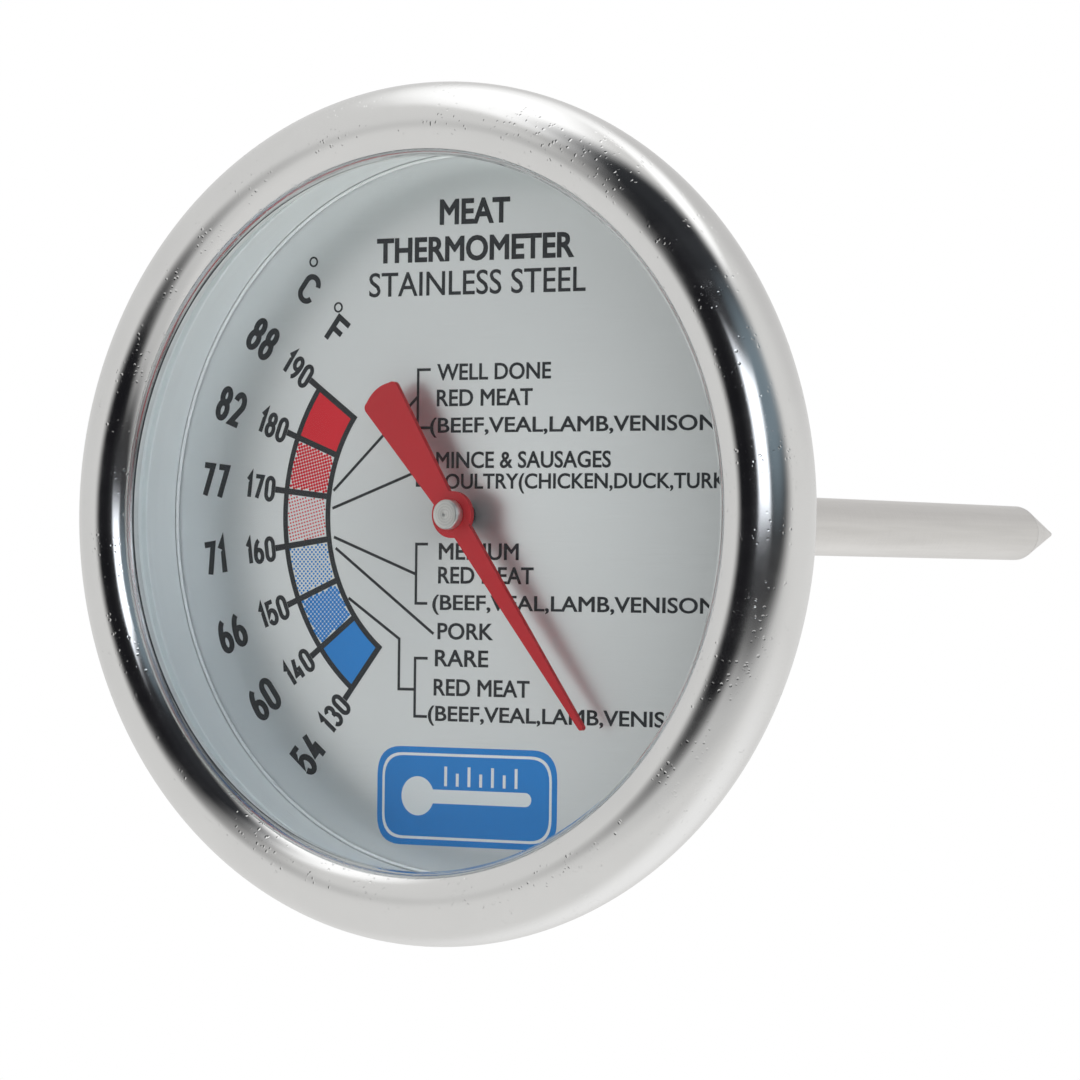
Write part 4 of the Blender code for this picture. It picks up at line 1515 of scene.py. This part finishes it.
@dataclass
class Studio:
    """Light, floor and camera."""

    base: Colour = (0.79, 0.785, 0.775)
    fill: float = 1.85
    patches: list[Patch] = field(default_factory=lambda: [
        Patch(-78, 72, 48, 18, 0.45, grey(1.35)),
        Patch(-20, 64, 22, 13, 0.60, grey(1.30), share=0.9),
        Patch(146, 64, 36, 8, 0.60, grey(1.50), share=0.9),
        Patch(-100, 14, 62, 30, 0.70, grey(0.62), share=0.35),
        Patch(46, -36, 52, 16, 0.70, grey(0.50), share=0.6),
        Patch(40, 48, 38, 34, 0.34, (0.030, 0.032, 0.036)),
        Patch(12, 28, 28, 24, 0.40, (0.020, 0.021, 0.024)),
        Patch(10, 3, 38, 29, 0.30, (0.010, 0.010, 0.012)),
        Patch(58, 6, 42, 34, 0.34, (0.034, 0.034, 0.036), share=0.98),
        Patch(74, 24, 20, 20, 0.60, (0.24, 0.31, 0.36), share=0.8),
        Patch(44, 14, 13, 13, 0.45, (2.0, 2.1, 2.25), Shape.SQUARE),
        Patch(176, 34, 30, 22, 0.70, (0.56, 0.55, 0.55), share=0.6),
        Patch(166, -52, 34, 22, 0.70, grey(1.15), share=0.6),
    ])

    def build(self) -> None:
        """Set up the room."""
        scene = bpy.context.scene
        scene.view_settings.view_transform = "Standard"
        self.build_world(scene)
        self.build_floor()
        self.build_camera(scene)

    def build_world(self, scene: bpy.types.Scene) -> None:
        """Grey room with its patches, brighter as soft fill light; plain white to the camera."""
        world = bpy.data.worlds.new("studio")
        scene.world = world
        world.use_nodes = True
        tree = world.node_tree
        tree.nodes.clear()
        link = tree.links.new
        look = tree.nodes.new("ShaderNodeTexCoord").outputs["Generated"]
        colour: Optional[bpy.types.NodeSocket] = None
        for patch in self.patches:
            mask = self.mask(tree, look, patch)
            mix = tree.nodes.new("ShaderNodeMix")
            mix.data_type = "RGBA"
            link(mask, mix.inputs[0])
            if colour is None:
                mix.inputs[6].default_value = (*self.base, 1.0)
            else:
                link(colour, mix.inputs[6])
            mix.inputs[7].default_value = (*patch.light, 1.0)
            colour = mix.outputs[2]
        path = tree.nodes.new("ShaderNodeLightPath")
        strength = tree.nodes.new("ShaderNodeMapRange")
        link(path.outputs["Is Diffuse Ray"], strength.inputs["Value"])
        strength.inputs["To Min"].default_value = 1.0
        strength.inputs["To Max"].default_value = self.fill
        room = tree.nodes.new("ShaderNodeBackground")
        link(colour, room.inputs["Color"])
        link(strength.outputs["Result"], room.inputs["Strength"])
        plain = tree.nodes.new("ShaderNodeBackground")
        plain.inputs["Color"].default_value = (1.0, 1.0, 1.0, 1.0)
        chosen = tree.nodes.new("ShaderNodeMixShader")
        link(path.outputs["Is Camera Ray"], chosen.inputs[0])
        link(room.outputs[0], chosen.inputs[1])
        link(plain.outputs[0], chosen.inputs[2])
        link(chosen.outputs[0], tree.nodes.new("ShaderNodeOutputWorld").inputs["Surface"])

    @staticmethod
    def mask(tree: bpy.types.NodeTree, look: bpy.types.NodeSocket, patch: Patch) -> bpy.types.NodeSocket:
        """How much of a patch a direction sees.

        Args:
            tree: the world's node tree.
            look: the direction.
            patch: the patch.

        Returns:
            0 outside the patch to its share inside.
        """
        def node(kind: str, *values: Input, **settings: object) -> bpy.types.NodeSocket:
            """One node with its inputs filled in order."""
            item = tree.nodes.new(kind)
            for key, value in settings.items():
                setattr(item, key, value)
            for socket, value in zip(item.inputs, values):
                if isinstance(value, bpy.types.NodeSocket):
                    tree.links.new(value, socket)
                else:
                    socket.default_value = value
            return item.outputs["Value"] if "Value" in item.outputs else item.outputs[0]

        ahead, right, up = patch.directions()
        across = node("ShaderNodeVectorMath", look, tuple(right / math.tan(math.radians(patch.wide / 2))),
                      operation="DOT_PRODUCT")
        along = node("ShaderNodeVectorMath", look, tuple(up / math.tan(math.radians(patch.tall / 2))),
                     operation="DOT_PRODUCT")
        if patch.shape is Shape.ROUND:
            reach = node("ShaderNodeMath", node("ShaderNodeMath", across, across, operation="MULTIPLY"),
                         node("ShaderNodeMath", along, along, operation="MULTIPLY"), operation="ADD")
            reach = node("ShaderNodeMath", reach, 0.5, operation="POWER")
        else:
            reach = node("ShaderNodeMath", node("ShaderNodeMath", across, operation="ABSOLUTE"),
                         node("ShaderNodeMath", along, operation="ABSOLUTE"), operation="MAXIMUM")
        front = node("ShaderNodeVectorMath", look, tuple(ahead), operation="DOT_PRODUCT")
        depth = node("ShaderNodeMath", front, 1.001, operation="ADD")
        reach = node("ShaderNodeMath", reach, depth, operation="DIVIDE")
        return node("ShaderNodeMapRange", reach, 1.0 - patch.soft, 1.0 + patch.soft, patch.share, 0.0,
                    interpolation_type="SMOOTHSTEP")

    @staticmethod
    def build_floor() -> None:
        """White floor just under the bezel, seen by the camera alone."""
        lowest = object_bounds()[0].z
        Bench.clear_selection()
        bpy.ops.mesh.primitive_plane_add(size=60.0, location=(0, 0, lowest - 1.0 * MM))
        floor = bpy.context.object
        floor.name = "floor"
        recipe = Recipe("pale_floor")
        recipe.tree.nodes.remove(recipe.shader)
        glow = recipe.add("ShaderNodeEmission", {"Color": (1.0, 1.0, 1.0), "Strength": 1.0})
        recipe.put(recipe.output.inputs["Surface"], glow.outputs[0])
        floor.data.materials.append(recipe.material)
        floor.visible_diffuse = False
        floor.visible_glossy = False
        floor.visible_transmission = False
        floor.visible_shadow = False
        floor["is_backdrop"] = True

    @staticmethod
    def build_camera(scene: bpy.types.Scene) -> None:
        """Long lens, a third of the way round to the right of the dial."""
        azimuth, elevation, roll = (math.radians(value) for value in (32.962, -0.556, 0.615))
        distance, aside, lift = 411.5 * MM, 10.92 * MM, -2.21 * MM
        back = Vector((math.sin(azimuth) * math.cos(elevation), -math.cos(azimuth) * math.cos(elevation),
                       math.sin(elevation)))
        right = Vector((math.cos(azimuth), math.sin(azimuth), 0.0))
        up = back.cross(right)
        lip_plane = Vector((0.0, -15.0 * MM, 0.0))
        aim = lip_plane + right * aside + up * lift
        across = right * math.cos(roll) + up * math.sin(roll)
        upright = up * math.cos(roll) - right * math.sin(roll)
        data = bpy.data.cameras.new("camera")
        data.lens, data.sensor_width = 156.85, 36.0
        data.clip_start, data.clip_end = 0.01, 100.0
        camera = bpy.data.objects.new("camera", data)
        scene.collection.objects.link(camera)
        turned = Matrix((across, upright, back)).transposed()
        camera.matrix_world = Matrix.Translation(aim + back * distance) @ turned.to_4x4()
        scene.camera = camera


def main() -> None:
    """Build the thermometer and its studio."""
    logging.basicConfig(level=logging.INFO, format="%(name)s: %(message)s")
    Bench.clear_selection()
    for assembly in (Case(), DialPrint(), Stem(), Movement(), Works(), Studio()):
        assembly.build()


if __name__ == "__main__":
    main()
